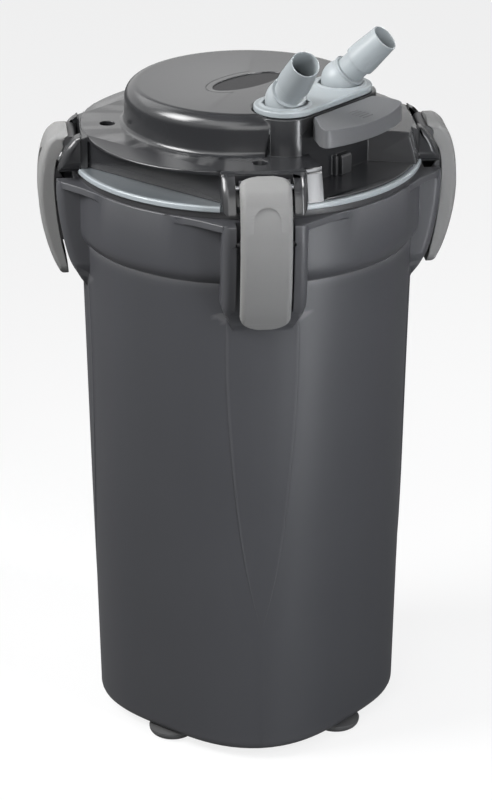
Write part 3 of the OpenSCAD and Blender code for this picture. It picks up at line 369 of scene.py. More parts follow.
def inset(line, d):
    """An open line moved to the right of its direction."""
    out = []
    for i in range(len(line)):
        a, b = line[max(0, i - 1)], line[min(len(line) - 1, i + 1)]
        t = Vector((b[0] - a[0], b[1] - a[1])).normalized()
        out.append((line[i][0] + d * t.y, line[i][1] - d * t.x))
    return out


# %% Lofts
def build(name, points, faces):
    """An object from points in millimetres."""
    mesh = bpy.data.meshes.new(name)
    mesh.from_pydata([(x * MM, y * MM, z * MM) for x, y, z in points], [], faces)
    work = bmesh.new()
    work.from_mesh(mesh)
    bmesh.ops.remove_doubles(work, verts=work.verts, dist=1e-7)
    bmesh.ops.recalc_face_normals(work, faces=work.faces)
    work.to_mesh(mesh)
    work.free()
    piece = bpy.data.objects.new(name, mesh)
    scene.collection.objects.link(piece)
    return piece


def loft(name, rings):
    """Joins rings of equally many points, and closes both ends."""
    n = len(rings[0])
    points = [p for ring in rings for p in ring]
    faces = []
    for a in range(0, len(points) - n, n):
        b = a + n
        faces += [(a + k, a + (k + 1) % n, b + (k + 1) % n, b + k) for k in range(n)]
    faces += [tuple(range(n))[::-1], tuple(range(len(points) - n, len(points)))]
    return build(name, points, faces)


def spin(name, profile, steps):
    """A closed profile of (radius, height), spun about Z."""
    n = len(profile)
    turns = [2 * math.pi * i / steps for i in range(steps)]
    points = [(r * math.cos(a), r * math.sin(a), z) for a in turns for r, z in profile]
    faces = []
    for i in range(steps):
        a, b = i * n, ((i + 1) % steps) * n
        for k in range(n):
            k2 = (k + 1) % n
            if profile[k][0] < 1e-6 and profile[k2][0] < 1e-6:
                continue
            faces.append((a + k, b + k, b + k2, a + k2))
    return build(name, points, faces)


def push_y(name, outline, y0, y1):
    """An outline of (out, up), pushed along Y."""
    return loft(name, [[(x, y, z) for x, z in outline] for y in (y0, y1)])


def push_z(name, outline, z0, z1):
    return loft(name, [[(x, y, z) for x, y in outline] for z in (z0, z1)])


def push_x(name, outline, x0, x1):
    """A front view of (across, up), pushed along X."""
    return loft(name, [[(x, y, z) for y, z in outline] for x in (x0, x1)])


def flanked(name, face, back, half, r, steps):
    """A block across Y whose face rounds over at both flanks."""
    turns = [math.radians(90 * i / steps) for i in range(steps, -1, -1)]
    sides = [(-half + r * (1 - math.sin(a)), r * (1 - math.cos(a))) for a in turns]
    sides += [(-y, d) for y, d in reversed(sides)]
    root = back[0][0] + 0.05
    rings = []
    for y, d in sides:
        rings.append([(max(root, x), y, z) for x, z in inset(face, d)] + [(x, y, z) for x, z in back])
    return loft(name, rings)


def disc_at(name, r, z0, z1, x=0.0, y=0.0, steps=64):
    return push_z(name, arc(x, y, r, 0, 360, steps)[:-1], z0, z1)


def shaft(name, at, r, y0, y1, steps=40):
    return push_y(name, arc(*at, r, 0, 360, steps)[:-1], y0, y1)


def box(name, x0, x1, y0, y1, z0, z1):
    return push_z(name, [(x0, y0), (x1, y0), (x1, y1), (x0, y1)], z0, z1)


def turned(piece, degrees, shift=(0, 0, 0)):
    """Turns a piece about Z, then moves it, in its mesh."""
    piece.data.transform(Matrix.Translation(Vector(shift) * MM) @ Matrix.Rotation(math.radians(degrees), 4, "Z"))
    return piece


def copies(piece, angles):
    out = [piece]
    for a in angles[1:]:
        twin = piece.copy()
        twin.data = piece.data.copy()
        scene.collection.objects.link(twin)
        out.append(turned(twin, a))
    turned(piece, angles[0])
    return out


# %% Booleans
def drop(piece):
    mesh = piece.data
    bpy.data.objects.remove(piece)
    if not mesh.users:
        bpy.data.meshes.remove(mesh)


def flatten(piece):
    """Puts the result of the modifiers into the mesh."""
    bpy.context.view_layer.update()
    view = bpy.context.evaluated_depsgraph_get()
    mesh = bpy.data.meshes.new_from_object(piece.evaluated_get(view))
    old = piece.data
    piece.modifiers.clear()
    piece.data = mesh
    bpy.data.meshes.remove(old)
    return piece


def combine(piece, tools, operation):
    for tool in tools:
        change = piece.modifiers.new("cut", "BOOLEAN")
        change.operation = operation
        change.solver = "EXACT"
        change.object = tool
    flatten(piece)
    for tool in tools:
        drop(tool)
    return piece


def join(piece, *tools):
    return combine(piece, tools, "UNION")


def cut(piece, *tools):
    return combine(piece, tools, "DIFFERENCE")


def keep_inside(piece, *tools):
    return combine(piece, tools, "INTERSECT")


def round_edges(piece, width, angle=32, segments=2):
    edge = piece.modifiers.new("edges", "BEVEL")
    edge.width = width * MM
    edge.segments = segments
    edge.limit_method = "ANGLE"
    edge.angle_limit = math.radians(angle)
    edge.use_clamp_overlap = False
    edge.loop_slide = False
    edge.miter_outer = "MITER_ARC" if segments > 2 else "MITER_SHARP"
    return flatten(piece)


def shade(piece, crease_area=None, flat_area=150):
    """Shades big faces flat and small rounds smooth. Slight creases round large faces stay crisp."""
    mesh = piece.data
    mesh.polygons.foreach_set("use_smooth", [True] * len(mesh.polygons))
    mesh.set_sharp_from_angle(angle=math.radians(48))
    if crease_area:
        work = bmesh.new()
        work.from_mesh(mesh)
        for edge in work.edges:
            areas = sorted(f.calc_area() / MM / MM for f in edge.link_faces)
            large = len(areas) == 2 and (areas[0] > crease_area or areas[1] > flat_area)
            if large and edge.calc_face_angle(0) > math.radians(3):
                edge.smooth = False
        work.to_mesh(mesh)
        work.free()
    weighted = piece.modifiers.new("shading", "WEIGHTED_NORMAL")
    weighted.keep_sharp = True
    weighted.weight = 80
    return piece


def moulded_edges(piece, width, angle=32, segments=2):
    """Breaks the sharp edges by a small radius, as a mould does."""
    return shade(round_edges(piece, width, angle, segments))


def finish_piece(piece, body, material, replaces=()):
    piece.data.materials.clear()
    piece.data.materials.append(material)
    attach(piece, body)
    if replaces:
        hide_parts(*replaces)
    print(piece.name, "-", len(piece.data.polygons), "faces, rides on", body)
    return piece


# %% [markdown]
# ## The levels of the filter
# Everything is stacked on a few heights and radii, the same as the CAD part's, in millimetres.

# %% Levels and radii
FLOOR, STEP, RIM, RING, DECK, BRIM, DOME, PLATE = 5, 299.3, 337.5, 341.6, 344.8, 363.7, 386.2, 388.5
BARREL_R, COLLAR_R, BASE_R, CORNER = 94.6, 98.9, 84.1, 0.051
BRIM_R, SKIRT_R, CHORD = 94.3, 98.5, 79.5
DOME_R = 69.5
CHEEK_IN, CHEEK_OUT = 15.7, 23.5
CLAMP_W = 27.8
PIVOT = (COLLAR_R + 1.7, BRIM - 6.9)
TAP, TAP_HALF, WELL_R, TAP_R = 48, 24.8, 17.9, 19.8
WALL_OUT = TAP + WELL_R + 0.1
CLAMPS = {"front": -90, "right": 0, "back": 90, "left": 180}
TURNS = list(CLAMPS.values())
TAP_TURN = -45
WELL_FLOOR = PLATE - 3.9


# %% [markdown]
# ## Canister
# The barrel is one moulding that lofts from a rounded square to a circle, so it is made as one clean grid of
# rows and columns instead of a boolean. The columns crowd along the edges of the four shield-shaped pads, and
# the same grid turns over the rim and runs down inside, so that the canister is a real cup.


# %% Grid of the barrel
BASE_ROUND, WALL, INNER_FLOOR, INNER_ROUND = 6, 3, FLOOR + 12, 9
PAD_SIDE = [(0, 20.5), (-41.2, 20.5), (-88.6, 17.6), (-133.9, 12.9), (-166.9, 7.6), (-198.8, 0.0)]
PAD_TOP = RIM - 55
PAD_STEPS = [(1.0, 0.0), (0.975, 0.55), (0.95, 0.6), (0.90, 0.6), (0.875, 0.38), (0.6, 0.36), (0.3, 0.35),
             (0.0, 0.35)]


def pad_half(z):
    """Half width of a shield pad at a height."""
    line = [(h + PAD_TOP, w) for h, w in curve(PAD_SIDE, 6)]
    if z >= line[0][0]:
        return line[0][1]
    for (z0, w0), (z1, w1) in zip(line, line[1:]):
        if z1 <= z <= z0:
            return max(0.0, w0 + (w1 - w0) * (z0 - z) / (z0 - z1))
    return 0.0


def barrel_radius(a, z):
    t = min(1.0, max(0.0, (z - FLOOR - BASE_ROUND) / (STEP - FLOOR - BASE_ROUND)))
    base = BASE_R * (1 + CORNER * math.cos(4 * a))
    return base + (BARREL_R - base) * t


def column_angles(z):
    """Angles of an eighth of the columns, from a clamp's middle to the diagonal, with each one's pad height."""
    w = max(pad_half(z), 0.8)
    live = min(1.0, pad_half(z) / 13.0) if z <= PAD_TOP else 0.0
    r = barrel_radius(0, z)
    out = [(math.asin(min(0.9, w * f / r)), h * live) for f, h in reversed(PAD_STEPS)]
    last = out[-1][0]
    rest = 12
    out += [(last + (math.pi / 4 - last) * i / rest, 0.0) for i in range(1, rest + 1)]
    return out


def ring_at(z, radius):
    """One ring of the grid. radius gives the plain radius at an angle."""
    eighth = column_angles(z)
    ring = []
    for quarter in range(4):
        turn = quarter * math.pi / 2
        line = eighth[:-1] + [(math.pi / 2 - a, h) for a, h in reversed(eighth)][:-1]
        for a, h in line:
            r = radius(a) + h
            ring.append((r * math.cos(a + turn), r * math.sin(a + turn), z))
    return ring


def canister_grid():
    rings = []
    for a in (0, 18, 36, 54, 72, 90):
        lift, draw = BASE_ROUND * (1 - math.cos(math.radians(a))), BASE_ROUND * (1 - math.sin(math.radians(a)))
        rings.append(ring_at(FLOOR + lift, lambda b, d=draw: barrel_radius(b, 0) - d))
    rows = 92
    levels = [FLOOR + BASE_ROUND + (STEP - FLOOR - BASE_ROUND - 0.5) * i / rows for i in range(1, rows + 1)]
    levels = [z for z in levels if abs(z - PAD_TOP) > 1.6] + [PAD_TOP - 0.5, PAD_TOP + 0.3]
    for z in sorted(levels):
        rings.append(ring_at(z, lambda b, z=z: barrel_radius(b, z)))
    profile = [(STEP - 0.3, BARREL_R - 0.35), (STEP + 0.1, BARREL_R - 0.35), (STEP + 0.35, BARREL_R + 0.35)]
    flare = curve([(0.8, 1.0), (2.3, 2.9), (3.5, 5.2), (4.1, 8.2), (4.3, 12)], 3)
    profile += [(STEP + z, BARREL_R + r) for r, z in flare]
    profile += [(STEP + 22, COLLAR_R), (RIM - 0.5, COLLAR_R), (RIM, COLLAR_R - 0.5)]
    inner = COLLAR_R - WALL
    profile += [(RIM, inner + 0.4), (RIM - 0.4, inner), (STEP + 20, inner), (STEP + 6.2, inner),
                (STEP, BARREL_R - WALL)]
    for z, r in profile:
        rings.append(ring_at(z, lambda b, r=r: r))
    for i in range(1, 7):
        z = STEP + (INNER_FLOOR - STEP) * i / 6
        rings.append([(x, y, z) for x, y, _ in ring_at(STEP + 1, lambda b, z=z: barrel_radius(b, z) - WALL)])
    for a in (30, 60, 90):
        z, draw = INNER_FLOOR - INNER_ROUND * math.sin(math.radians(a)), INNER_ROUND * (1 - math.cos(math.radians(a)))
        flat = ring_at(STEP + 1, lambda b, d=draw: barrel_radius(b, 0) - WALL - d)
        rings.append([(x, y, z) for x, y, _ in flat])
    return loft("canister_shell", rings)


canister = canister_grid()
print("canister grid:", len(canister.data.polygons), "faces")

# %% [markdown]
# ### Cheeks, rim lips and hook rails
# Two cheeks guard each clamp. From above they round over into the collar, and seen from the front they taper
# to a point on the barrel. The rim flares out to meet them.

# %% Cheeks and rim lips
CHEEK_TIP = RIM - 66
CHEEK_EDGE = curve([(COLLAR_R + x, RIM + z) for x, z in
                    ((10, 0), (10.3, -8.5), (9.1, -21.5), (6.5, -36.5), (3.5, -48), (-1, -56.5), (-6.5, -66))], 4)


def cheek_pair():
    root = BARREL_R - 8
    pair = flanked("cheeks", CHEEK_EDGE, [(root, CHEEK_TIP), (root, RIM)], CHEEK_OUT, 4.6, 6)
    front = [(CHEEK_OUT, RIM + 1), (CHEEK_OUT, RIM - 49), (CHEEK_OUT - 2.3, RIM - 55.5), (CHEEK_IN + 1.4, RIM - 64),
             (CHEEK_IN, CHEEK_TIP - 0.5)]
    keep_inside(pair, push_x("front", front + [(-y, z) for y, z in reversed(front)], root - 1, COLLAR_R + 14))
    return pair


def rim_lip():
    a, b = math.radians(32), math.radians(22)
    x = CHEEK_EDGE[0][0]
    side = [((COLLAR_R - 0.2) * math.cos(a), (COLLAR_R - 0.2) * math.sin(a)),
            (COLLAR_R * math.cos(b) + 2.3, COLLAR_R * math.sin(b)), (x - 1.3, CHEEK_OUT - 1.7)]
    flare = curve(side, 6)
    return push_z("rim_lip", [(x, -y) for x, y in flare] + flare[::-1], RIM - 4, RIM)


def clamp_side_of_canister():
    pair = join(cheek_pair(), rim_lip())
    cut(pair, box("slot", COLLAR_R + 0.8, COLLAR_R + 40, -CHEEK_IN, CHEEK_IN, RIM - 70, RIM + 5),
        shaft("dimples", (COLLAR_R + 8.3, RIM - 10.5), 2, -CHEEK_IN - 0.5, CHEEK_IN + 0.5, 24))
    return join(pair, box("rail", COLLAR_R - 1.5, COLLAR_R + 2.6, -13, 13, RIM - 14.5, RIM - 10.5))


sides = copies(turned(clamp_side_of_canister(), 0, (0, 0, -0.15)), TURNS)
posts = copies(disc_at("post", 5, FLOOR + 2.5, FLOOR + 7, BASE_R * 0.72), [0, 90, 180, 270])
join(canister, *sides, *posts)
bore_r, mouth_r = BARREL_R - 3.3, COLLAR_R - 3.05
cut(canister, spin("bore", [(0, RIM - 72), (bore_r - 1.3, RIM - 72), (bore_r, STEP - 0.5), (mouth_r, STEP + 6),
                            (mouth_r, RIM + 5), (0, RIM + 5)], 160))
moulded_edges(canister, 0.45, 68)
finish_piece(canister, "canister", body_satin, ["canister_body"])

# %% [markdown]
# ## Pump head
# The head cover is a brim on a drum. The drum has three flat finger recesses and a deep recess under the
# release lever, the dome on top is cut off square in front of the lever, and two fins stand beside each clamp.
# Exact booleans suit it, because its walls really meet in sharp corners that only a small radius breaks.


# %% Drum and brim
RECESS_TURNS = (45, 135, 225)


def chord_box(turn):
    return turned(box("recess", CHORD, CHORD + 40, -70, 70, DECK - 1, BRIM - 2.9), turn)


def drum():
    side = [(0, DECK), (SKIRT_R, DECK), (BRIM_R + 0.4, BRIM - 3.2), (BRIM_R - 0.3, BRIM - 2.9), (BRIM_R, BRIM - 2.6)]
    body = spin("head_cover", side + arc(BRIM_R - 1.1, BRIM - 1.1, 1.1, 0, 90, 4) + [(0, BRIM)], 160)
    cut(body, *[chord_box(turn) for turn in RECESS_TURNS])
    return body


head = drum()
print("drum:", len(head.data.polygons), "faces")

# %% Fins
FIN_EDGE = curve([(BRIM_R + x, BRIM + z) for x, z in
                  ((0.4, -0.2), (4, -1.4), (7.4, -5), (9.6, -7.8), (11.4, -11.6), (13.2, -17), (14, -20.2),
                   (13.6, -21.7))], 4)
FIN_ROUND = 4.6
FIN_FOOT = ((0, 7), (0.8, 3.2), (3, 0.6), (6, -0.5))


def along(line, t):
    """The value at t in a row of (key, value) that runs upwards."""
    for (a, va), (b, vb) in zip(line, line[1:]):
        if t <= b:
            return va + (vb - va) * max(0.0, t - a) / (b - a)
    return line[-1][1]


def fin_pair():
    """Both fins of a clamp, ring by ring across. The flanks round over and the foot's corners are drawn in."""
    root, r = BRIM_R + 0.9, FIN_ROUND
    top, bottom = FIN_EDGE[0][1], FIN_EDGE[-1][1]
    face = sorted((z, x) for x, z in FIN_EDGE)
    foot_line = [(-1, -0.5)] + sorted((CHEEK_OUT - y, z) for y, z in FIN_FOOT)
    rings = []
    steps = [-CHEEK_OUT + r * (1 - math.cos(math.radians(9 * i))) for i in range(10)]
    for y in steps + [-s for s in reversed(steps)]:
        draw = r - math.sqrt(max(0.0, r * r - max(0.0, abs(y) - CHEEK_OUT + r) ** 2))
        low = bottom + max(0.0, along(foot_line, abs(y)))
        levels = [low + (top - low) * (1 - k / 30) for k in range(31)]
        front = [(max(root + 0.1, along(face, z) - draw), y, z) for z in levels]
        rings.append(front + [(root, y, low), (root, y, top)])
    pair = loft("fins", rings)
    side = [(BRIM_R - 3, DECK), (root + 0.5, DECK), (root + 0.5, top - 1.5), (BRIM_R - 3, top)]
    join(pair, push_y("foot", side, 0.3 - CHEEK_OUT, CHEEK_OUT - 0.3))
    return cut(pair, box("gap", root - 0.5, root + 30, -CHEEK_IN, CHEEK_IN, bottom - 1, bottom + 30))


join(head, *copies(fin_pair(), TURNS))


# %% Dome and wall of the tap block
def oblong_ring(r, z, steps=32):
    """A ring round both hose tails."""
    line = [(x, y + TAP_HALF) for x, y in arc(0, 0, r, 0, 180, steps)]
    line += [(x, y - TAP_HALF) for x, y in arc(0, 0, r, 180, 360, steps)]
    return [(x + TAP, y, z) for x, y in line]


def oblong(name, z0, z1):
    return turned(loft(name, [oblong_ring(TAP_R, z, 24) for z in (z0, z1)]), TAP_TURN)


def dome():
    profile = [(0, BRIM - 1), (DOME_R + 3.4, BRIM - 1)]
    profile += arc(DOME_R + 3.2, BRIM + 3.2, 3.2, 270, 180, 6)
    profile += arc(DOME_R - 8.4, DOME - 8, 8, 0, 90, 10) + [(0, DOME)]
    body = spin("dome", profile, 160)
    cut(body, turned(box("front_cut", TAP + 5, TAP + 70, -100, 100, BRIM - 2, BRIM + 60), TAP_TURN))
    wall = oblong("tap_wall", DECK, WELL_FLOOR)
    keep_inside(wall, turned(box("wall_face", 0, WALL_OUT, -60, 60, DECK - 1, BRIM + 60), TAP_TURN))
    return join(body, wall)


join(head, dome())
print("head with dome:", len(head.data.polygons), "faces")

# %% Recess, wells and hollow
RECESS = [(WALL_OUT, -26.9), (WALL_OUT + 44, -55.1), (WALL_OUT + 44, 55.1), (WALL_OUT, 26.9)]
DECK_T = 1.2
SOCKET_R, SCREW_CIRCLE, BADGE_TURN = 12.3, 79, 38


def hollow():
    r = DOME_R - 3
    room = spin("hollow", [(0, RING), (r, RING)] + arc(r - 5, DOME - 8, 5, 0, 90, 5) + [(0, DOME - 3)], 96)
    return cut(room, oblong("well_left", DECK - 4, DECK + 60),
               turned(box("wall_left", WALL_OUT - 3, WALL_OUT + 40, -60, 60, DECK - 4, DECK + 60), TAP_TURN))


def edge_cutter():
    ring = turned(push_z("deck_edge", RECESS, DECK - 1, DECK + DECK_T + 0.01), TAP_TURN)
    return cut(ring, disc_at("inner", SKIRT_R - 1.7, DECK - 2, DECK + DECK_T + 1, steps=128))


def slope(turn):
    tilt = push_y("slope", [(-0.6, 0.063), (40, -4.2), (40, 6), (-0.6, 6)], -70, 70)
    return turned(turned(tilt, 0, (CHORD, 0, BRIM)), turn)


def plate_well():
    """The well's mouth widens into the dome."""
    mouth = ((WELL_R, WELL_FLOOR), (WELL_R, WELL_FLOOR + 0.1), (WELL_R + 2.4, WELL_FLOOR + 2.4),
             (WELL_R + 3.5, WELL_FLOOR + 4))
    return turned(loft("plate_well", [oblong_ring(r, z) for r, z in mouth]), TAP_TURN)


def sockets():
    return [turned(disc_at("socket", SOCKET_R, DECK - 1, DECK + 60, TAP, side * TAP_HALF), TAP_TURN)
            for side in (-1, 1)]


def oval(half_x, half_y, turns):
    return [(half_x * math.cos(a), half_y * math.sin(a)) for a in turns]


def badge_cutter(name, outline, depth):
    return turned(push_z(name, outline, DOME - depth, DOME + 1), BADGE_TURN)


def badge_groove():
    """A thin groove beside the badge, along part of its edge."""
    turns = [math.radians(a) for a in range(60, 226, 5)]
    return badge_cutter("badge_groove", oval(28, 14.5, turns) + oval(28.5, 15.0, turns[::-1]), 0.4)


cut(head, turned(push_z("lever_recess", RECESS, DECK + DECK_T, BRIM + 1), TAP_TURN), edge_cutter(),
    *[slope(turn) for turn in RECESS_TURNS])
cut(head, hollow())
cut(head, plate_well(), *sockets())
cut(head, *copies(shaft("clamp_room", PIVOT, 4.8, -CHEEK_IN, CHEEK_IN), TURNS))
cut(head, *copies(shaft("pin_bore", PIVOT, 1.36, -CHEEK_IN - 4, CHEEK_IN + 4, 24), TURNS))
cut(head, *copies(disc_at("screw_well", 4.3, DECK + 5, DECK + 45, SCREW_CIRCLE, steps=40), TURNS))
cut(head, *copies(disc_at("screw_hole", 2.1, DECK - 1, DECK + 9, SCREW_CIRCLE, steps=24), TURNS))
cut(head, badge_cutter("badge_recess", oval(24.5, 10.5, [2 * math.pi * i / 64 for i in range(64)]), 1))
entry = disc_at("cable_entry", 4.6, 0, 20, steps=32)
entry.data.transform(Matrix.Rotation(math.radians(90), 4, "Y"))
entry.data.transform(Matrix.Translation(Vector((DOME_R - 8, 0, BRIM + 8)) * MM))
cut(head, turned(entry, 135))
print("head cut:", len(head.data.polygons), "faces")

# %% Lever ears and catch
HINGE = (WALL_OUT + 4.3, DOME - 4.6)


def lever_ears():
    x, z = HINGE
    ears = []
    for y in (-18, 15):
        ears.append(turned(push_y("ear", [(WALL_OUT - 1, z - 4.6), (x - 1.8, z - 4.6), (x - 1.8, z), (x + 1.8, z),
                                          (x + 1.8, z - 7), (WALL_OUT - 1, z - 13)], y, y + 3), TAP_TURN))
        ears.append(turned(shaft("ear_eye", HINGE, 2, y, y + 3, 24), TAP_TURN))
    return ears


def lever_catch():
    low, high = DECK + DECK_T - 0.2, DECK + DECK_T + 11
    face = [(-5.6, low), (-3.4, low), (-3.4, high), (-5.6, high)]
    post = push_x("catch_post", face, WALL_OUT - 0.5, WALL_OUT + 2.9)
    block = push_y("catch_block", [(WALL_OUT - 0.5, low), (WALL_OUT + 4.3, low), (WALL_OUT + 4.3, high - 1.6),
                                   (WALL_OUT + 3.2, high), (WALL_OUT - 0.5, high)], -1.8, 6.8)
    return [turned(post, TAP_TURN), turned(block, TAP_TURN)]


join(head, *lever_ears(), *lever_catch())
cut(head, turned(shaft("lever_pin_bore", HINGE, 1.26, -19, 19, 24), TAP_TURN))
round_edges(head, 0.4, 38)
shade(cut(head, badge_groove()), crease_area=60)
finish_piece(head, "head", head_gloss, ["head_housing"])

# %% [markdown]
# ## Clamps
# A clamp is a soft-touch shell over a black frame, and it turns on a steel pin between two fins. The shell is
# one curved skin: its side view is a smooth line, its flanks round over and its ends are half ovals. So the
# side view is pushed across, the flanks are drawn in ring by ring, and the front view cuts the ends.

# %% Clamp shells
TOP_ROUND = BRIM + 0.3 - PIVOT[1]
SHELL_OUTER = curve(arc(*PIVOT, TOP_ROUND, 78, 68, 1) + [(COLLAR_R + x, RIM + z) for x, z in (
    (6.9, 25.4), (11.1, 23.3), (14.9, 19.5), (17.6, 12.5), (19.3, 4.5), (20.1, -5.5), (20.1, -15.5),
    (18.7, -27.5), (16, -39.5), (12.9, -49), (9.9, -55.5), (6.8, -61))], 4)
SHELL_INNER = curve([(COLLAR_R + x, RIM + z) for x, z in (
    (3.9, -59.6), (5.4, -51), (8, -38.5), (10, -24), (11, -9.5), (11, 1), (9.6, 9.5))], 4)
SHELL_SKIN, SHELL_SIDE = 3.0, 2.2


def oval_ends(half, top, top_end, bottom, bottom_end, steps=24):
    """Front view of a clamp."""
    turns = [math.pi * i / steps for i in range(steps + 1)]
    upper = [(half * math.cos(a), top - top_end * (1 - math.sin(a))) for a in turns]
    lower = [(-half * math.cos(a), bottom + bottom_end * (1 - math.sin(a))) for a in turns]
    return upper + lower


def thumb_dent():
    """A shallow scoop with an arched upper edge. Its floor runs out into the face below."""
    high, low, half, depth = RIM + 13.2, RIM - 3.0, 7.2, 1.3
    arch = arc(0, high - half, half, 180, 0, 24)
    front = push_x("front", [(-half - 0.6, low)] + arch + [(half + 0.6, low)], COLLAR_R + 5, COLLAR_R + 35)
    face = [p for p in SHELL_OUTER if low - 6 < p[1] < high + 6]
    floor = []
    for (x, z), (x1, z1) in zip(face, inset(face, 1.0)):
        t = (z - low) / (high - low)
        d = depth * (min(1.0, t) ** 2 if t > 0.2 else 0.04 + 0.4 * (t - 0.2))
        floor.append((x + (x1 - x) * d, z + (z1 - z) * d))
    side = floor + [(COLLAR_R + 34, floor[-1][1]), (COLLAR_R + 34, floor[0][1])]
    return keep_inside(front, push_y("side", side, -20, 20))


def clamp_shell(name):
    half = CLAMP_W / 2
    foot = SHELL_OUTER[-1][1]
    shell = flanked(name, SHELL_OUTER, [(COLLAR_R - 6, foot), (COLLAR_R - 6, PIVOT[1])], half, 3.0, 8)
    under = arc(*PIVOT, TOP_ROUND - SHELL_SKIN, -30, 78, 10)
    side = push_y("side", SHELL_OUTER + SHELL_INNER + under, -half - 1, half + 1)
    front = push_x("front", oval_ends(half, BRIM + 0.4, 5.2, RIM - 61.2, 8.5), COLLAR_R - 8, COLLAR_R + 30)
    keep_inside(shell, side, front)
    behind = inset(SHELL_OUTER, SHELL_SKIN)[:-4] + [(COLLAR_R - 4, RIM - 50), (COLLAR_R - 4, BRIM + 4)]
    cut(shell, push_y("behind", behind, SHELL_SIDE - half, half - SHELL_SIDE))
    round_edges(shell, 0.5, 38, 3)
    return shade(cut(shell, thumb_dent()))


for side, turn in CLAMPS.items():
    shell = turned(clamp_shell("clamp_face_" + side), turn)
    finish_piece(shell, "clamp_" + side, clamp_soft, ["clamp_shell_" + side])

# %% [markdown]
# ## Tap block
# The plate that carries both hose tails is pale plastic. Its top edge is rounded, a low rim stands round each
# tail, and the tail's foot sits in a sunk seat with a dark gap round it. Two spigots under the plate plug into
# the head, and they show when the block is lifted out.


# %% Tap plate
ELBOW_R, PLUG_R, BORE_R = 11.2, 9.5, 6.3
PLATE_T, SPIGOT_R, SPIGOT_BORE, SPIGOT_END = 3.6, 12.0, 7.8, PLATE - 3.6 - 34
SEAL_HALF = 1.2


def at_tail(piece, y):
    """Moves a piece from the middle of the frame to a hose tail's axis."""
    return turned(piece, 0, (TAP, y, 0))


def groove_cutter(floor_r, r, z, half):
    """Cutter for a seal groove that runs round a plug."""
    return spin("groove", [(floor_r, z - half), (r + 2, z - half), (r + 2, z + half), (floor_r, z + half)], 96)


def tap_plate():
    r = 17.6
    edge = [(r - 0.4, PLATE - PLATE_T), (r, PLATE - PLATE_T + 0.4)] + arc(r - 1.1, PLATE - 1.1, 1.1, 0, 90, 5)
    plate = loft("tap_plate", [oblong_ring(a, z) for a, z in edge])
    rise = curve([(14.8, PLATE), (14.2, PLATE + 0.25), (13.5, PLATE + 0.62), (12.9, PLATE + 0.7)], 3)
    rim = [(0, PLATE - 1), (14.9, PLATE - 1), (14.9, PLATE)] + rise + [(0, PLATE + 0.7)]
    for y in (-TAP_HALF, TAP_HALF):
        join(plate, at_tail(spin("rim", rim, 96), y),
             disc_at("spigot", SPIGOT_R, SPIGOT_END, PLATE - PLATE_T + 1, TAP, y, 96))
    seal_r = SPIGOT_R + 0.24
    for y in (-TAP_HALF, TAP_HALF):
        cut(plate, disc_at("bore", SPIGOT_BORE, SPIGOT_END - 1, PLATE + 9, TAP, y),
            disc_at("plug_bore", PLUG_R + 0.3, PLATE - 12.3, PLATE + 9, TAP, y),
            disc_at("seat", ELBOW_R + 1.2, PLATE - 1.2, PLATE + 9, TAP, y, 96),
            at_tail(groove_cutter(seal_r - 2 * SEAL_HALF + 0.1, seal_r, SPIGOT_END + 5, SEAL_HALF), y))
        for notch in (45, 225):
            slot = box("notch", ELBOW_R - 0.4, ELBOW_R + 2.0, -0.8, 0.8, PLATE - 0.8, PLATE + 3)
            cut(plate, turned(slot, notch, (TAP, y, 0)))
    return plate


plate = turned(tap_plate(), TAP_TURN)
moulded_edges(plate, 0.3, 38)
finish_piece(plate, "tap", pale_satin, ["tap_block"])

# %% [markdown]
# ## Hose elbows
# An elbow is a plug, a ball and a tail. Plug and ball spin about the upright axis and the tail about its own,
# and the water way is cut through both. The sleeve that takes the hose is the thickest part of the tail, and
# its mouth opens to a thin rim.

# %% Elbows
BEND = PLATE + 2.7
RISE = 45.7
TAIL_L, SLEEVE_L, BARB_R, TIP_R, TAIL_BORE = 36.8, 21.4, 9.3, 8.0, 6.8


def tail_outline():
    start = TAIL_L - SLEEVE_L
    neck = BARB_R - 1.15
    cone = [(ELBOW_R - 0.6, -2), (ELBOW_R - 0.6, 0), (BARB_R + 0.1, 6.1), (BARB_R + 0.6, 6.3)]
    ring = [(BARB_R + 0.75, 6.5), (BARB_R + 0.75, 7.3), (BARB_R + 0.55, 7.5), (neck + 0.1, 7.5), (neck, 7.6),
            (neck, start - 0.2)]
    sleeve = [(neck + 0.2, start), (BARB_R - 0.25, start), (BARB_R, start + 0.3), (BARB_R, start + 4),
              (TIP_R + 0.03, TAIL_L - 0.35), (TIP_R - 0.3, TAIL_L)]
    return [(0, -2)] + cone + ring + sleeve + [(0, TAIL_L)]


def laid(piece, turn):
    """Tips a spin about its own axis to the tail's rise and direction, from the bend."""
    tip = Matrix.Rotation(math.radians(turn - TAP_TURN), 4, "Z") @ Matrix.Rotation(math.radians(90 - RISE), 4, "Y")
    piece.data.transform(Matrix.Translation(Vector((0, 0, BEND)) * MM) @ tip)
    return piece


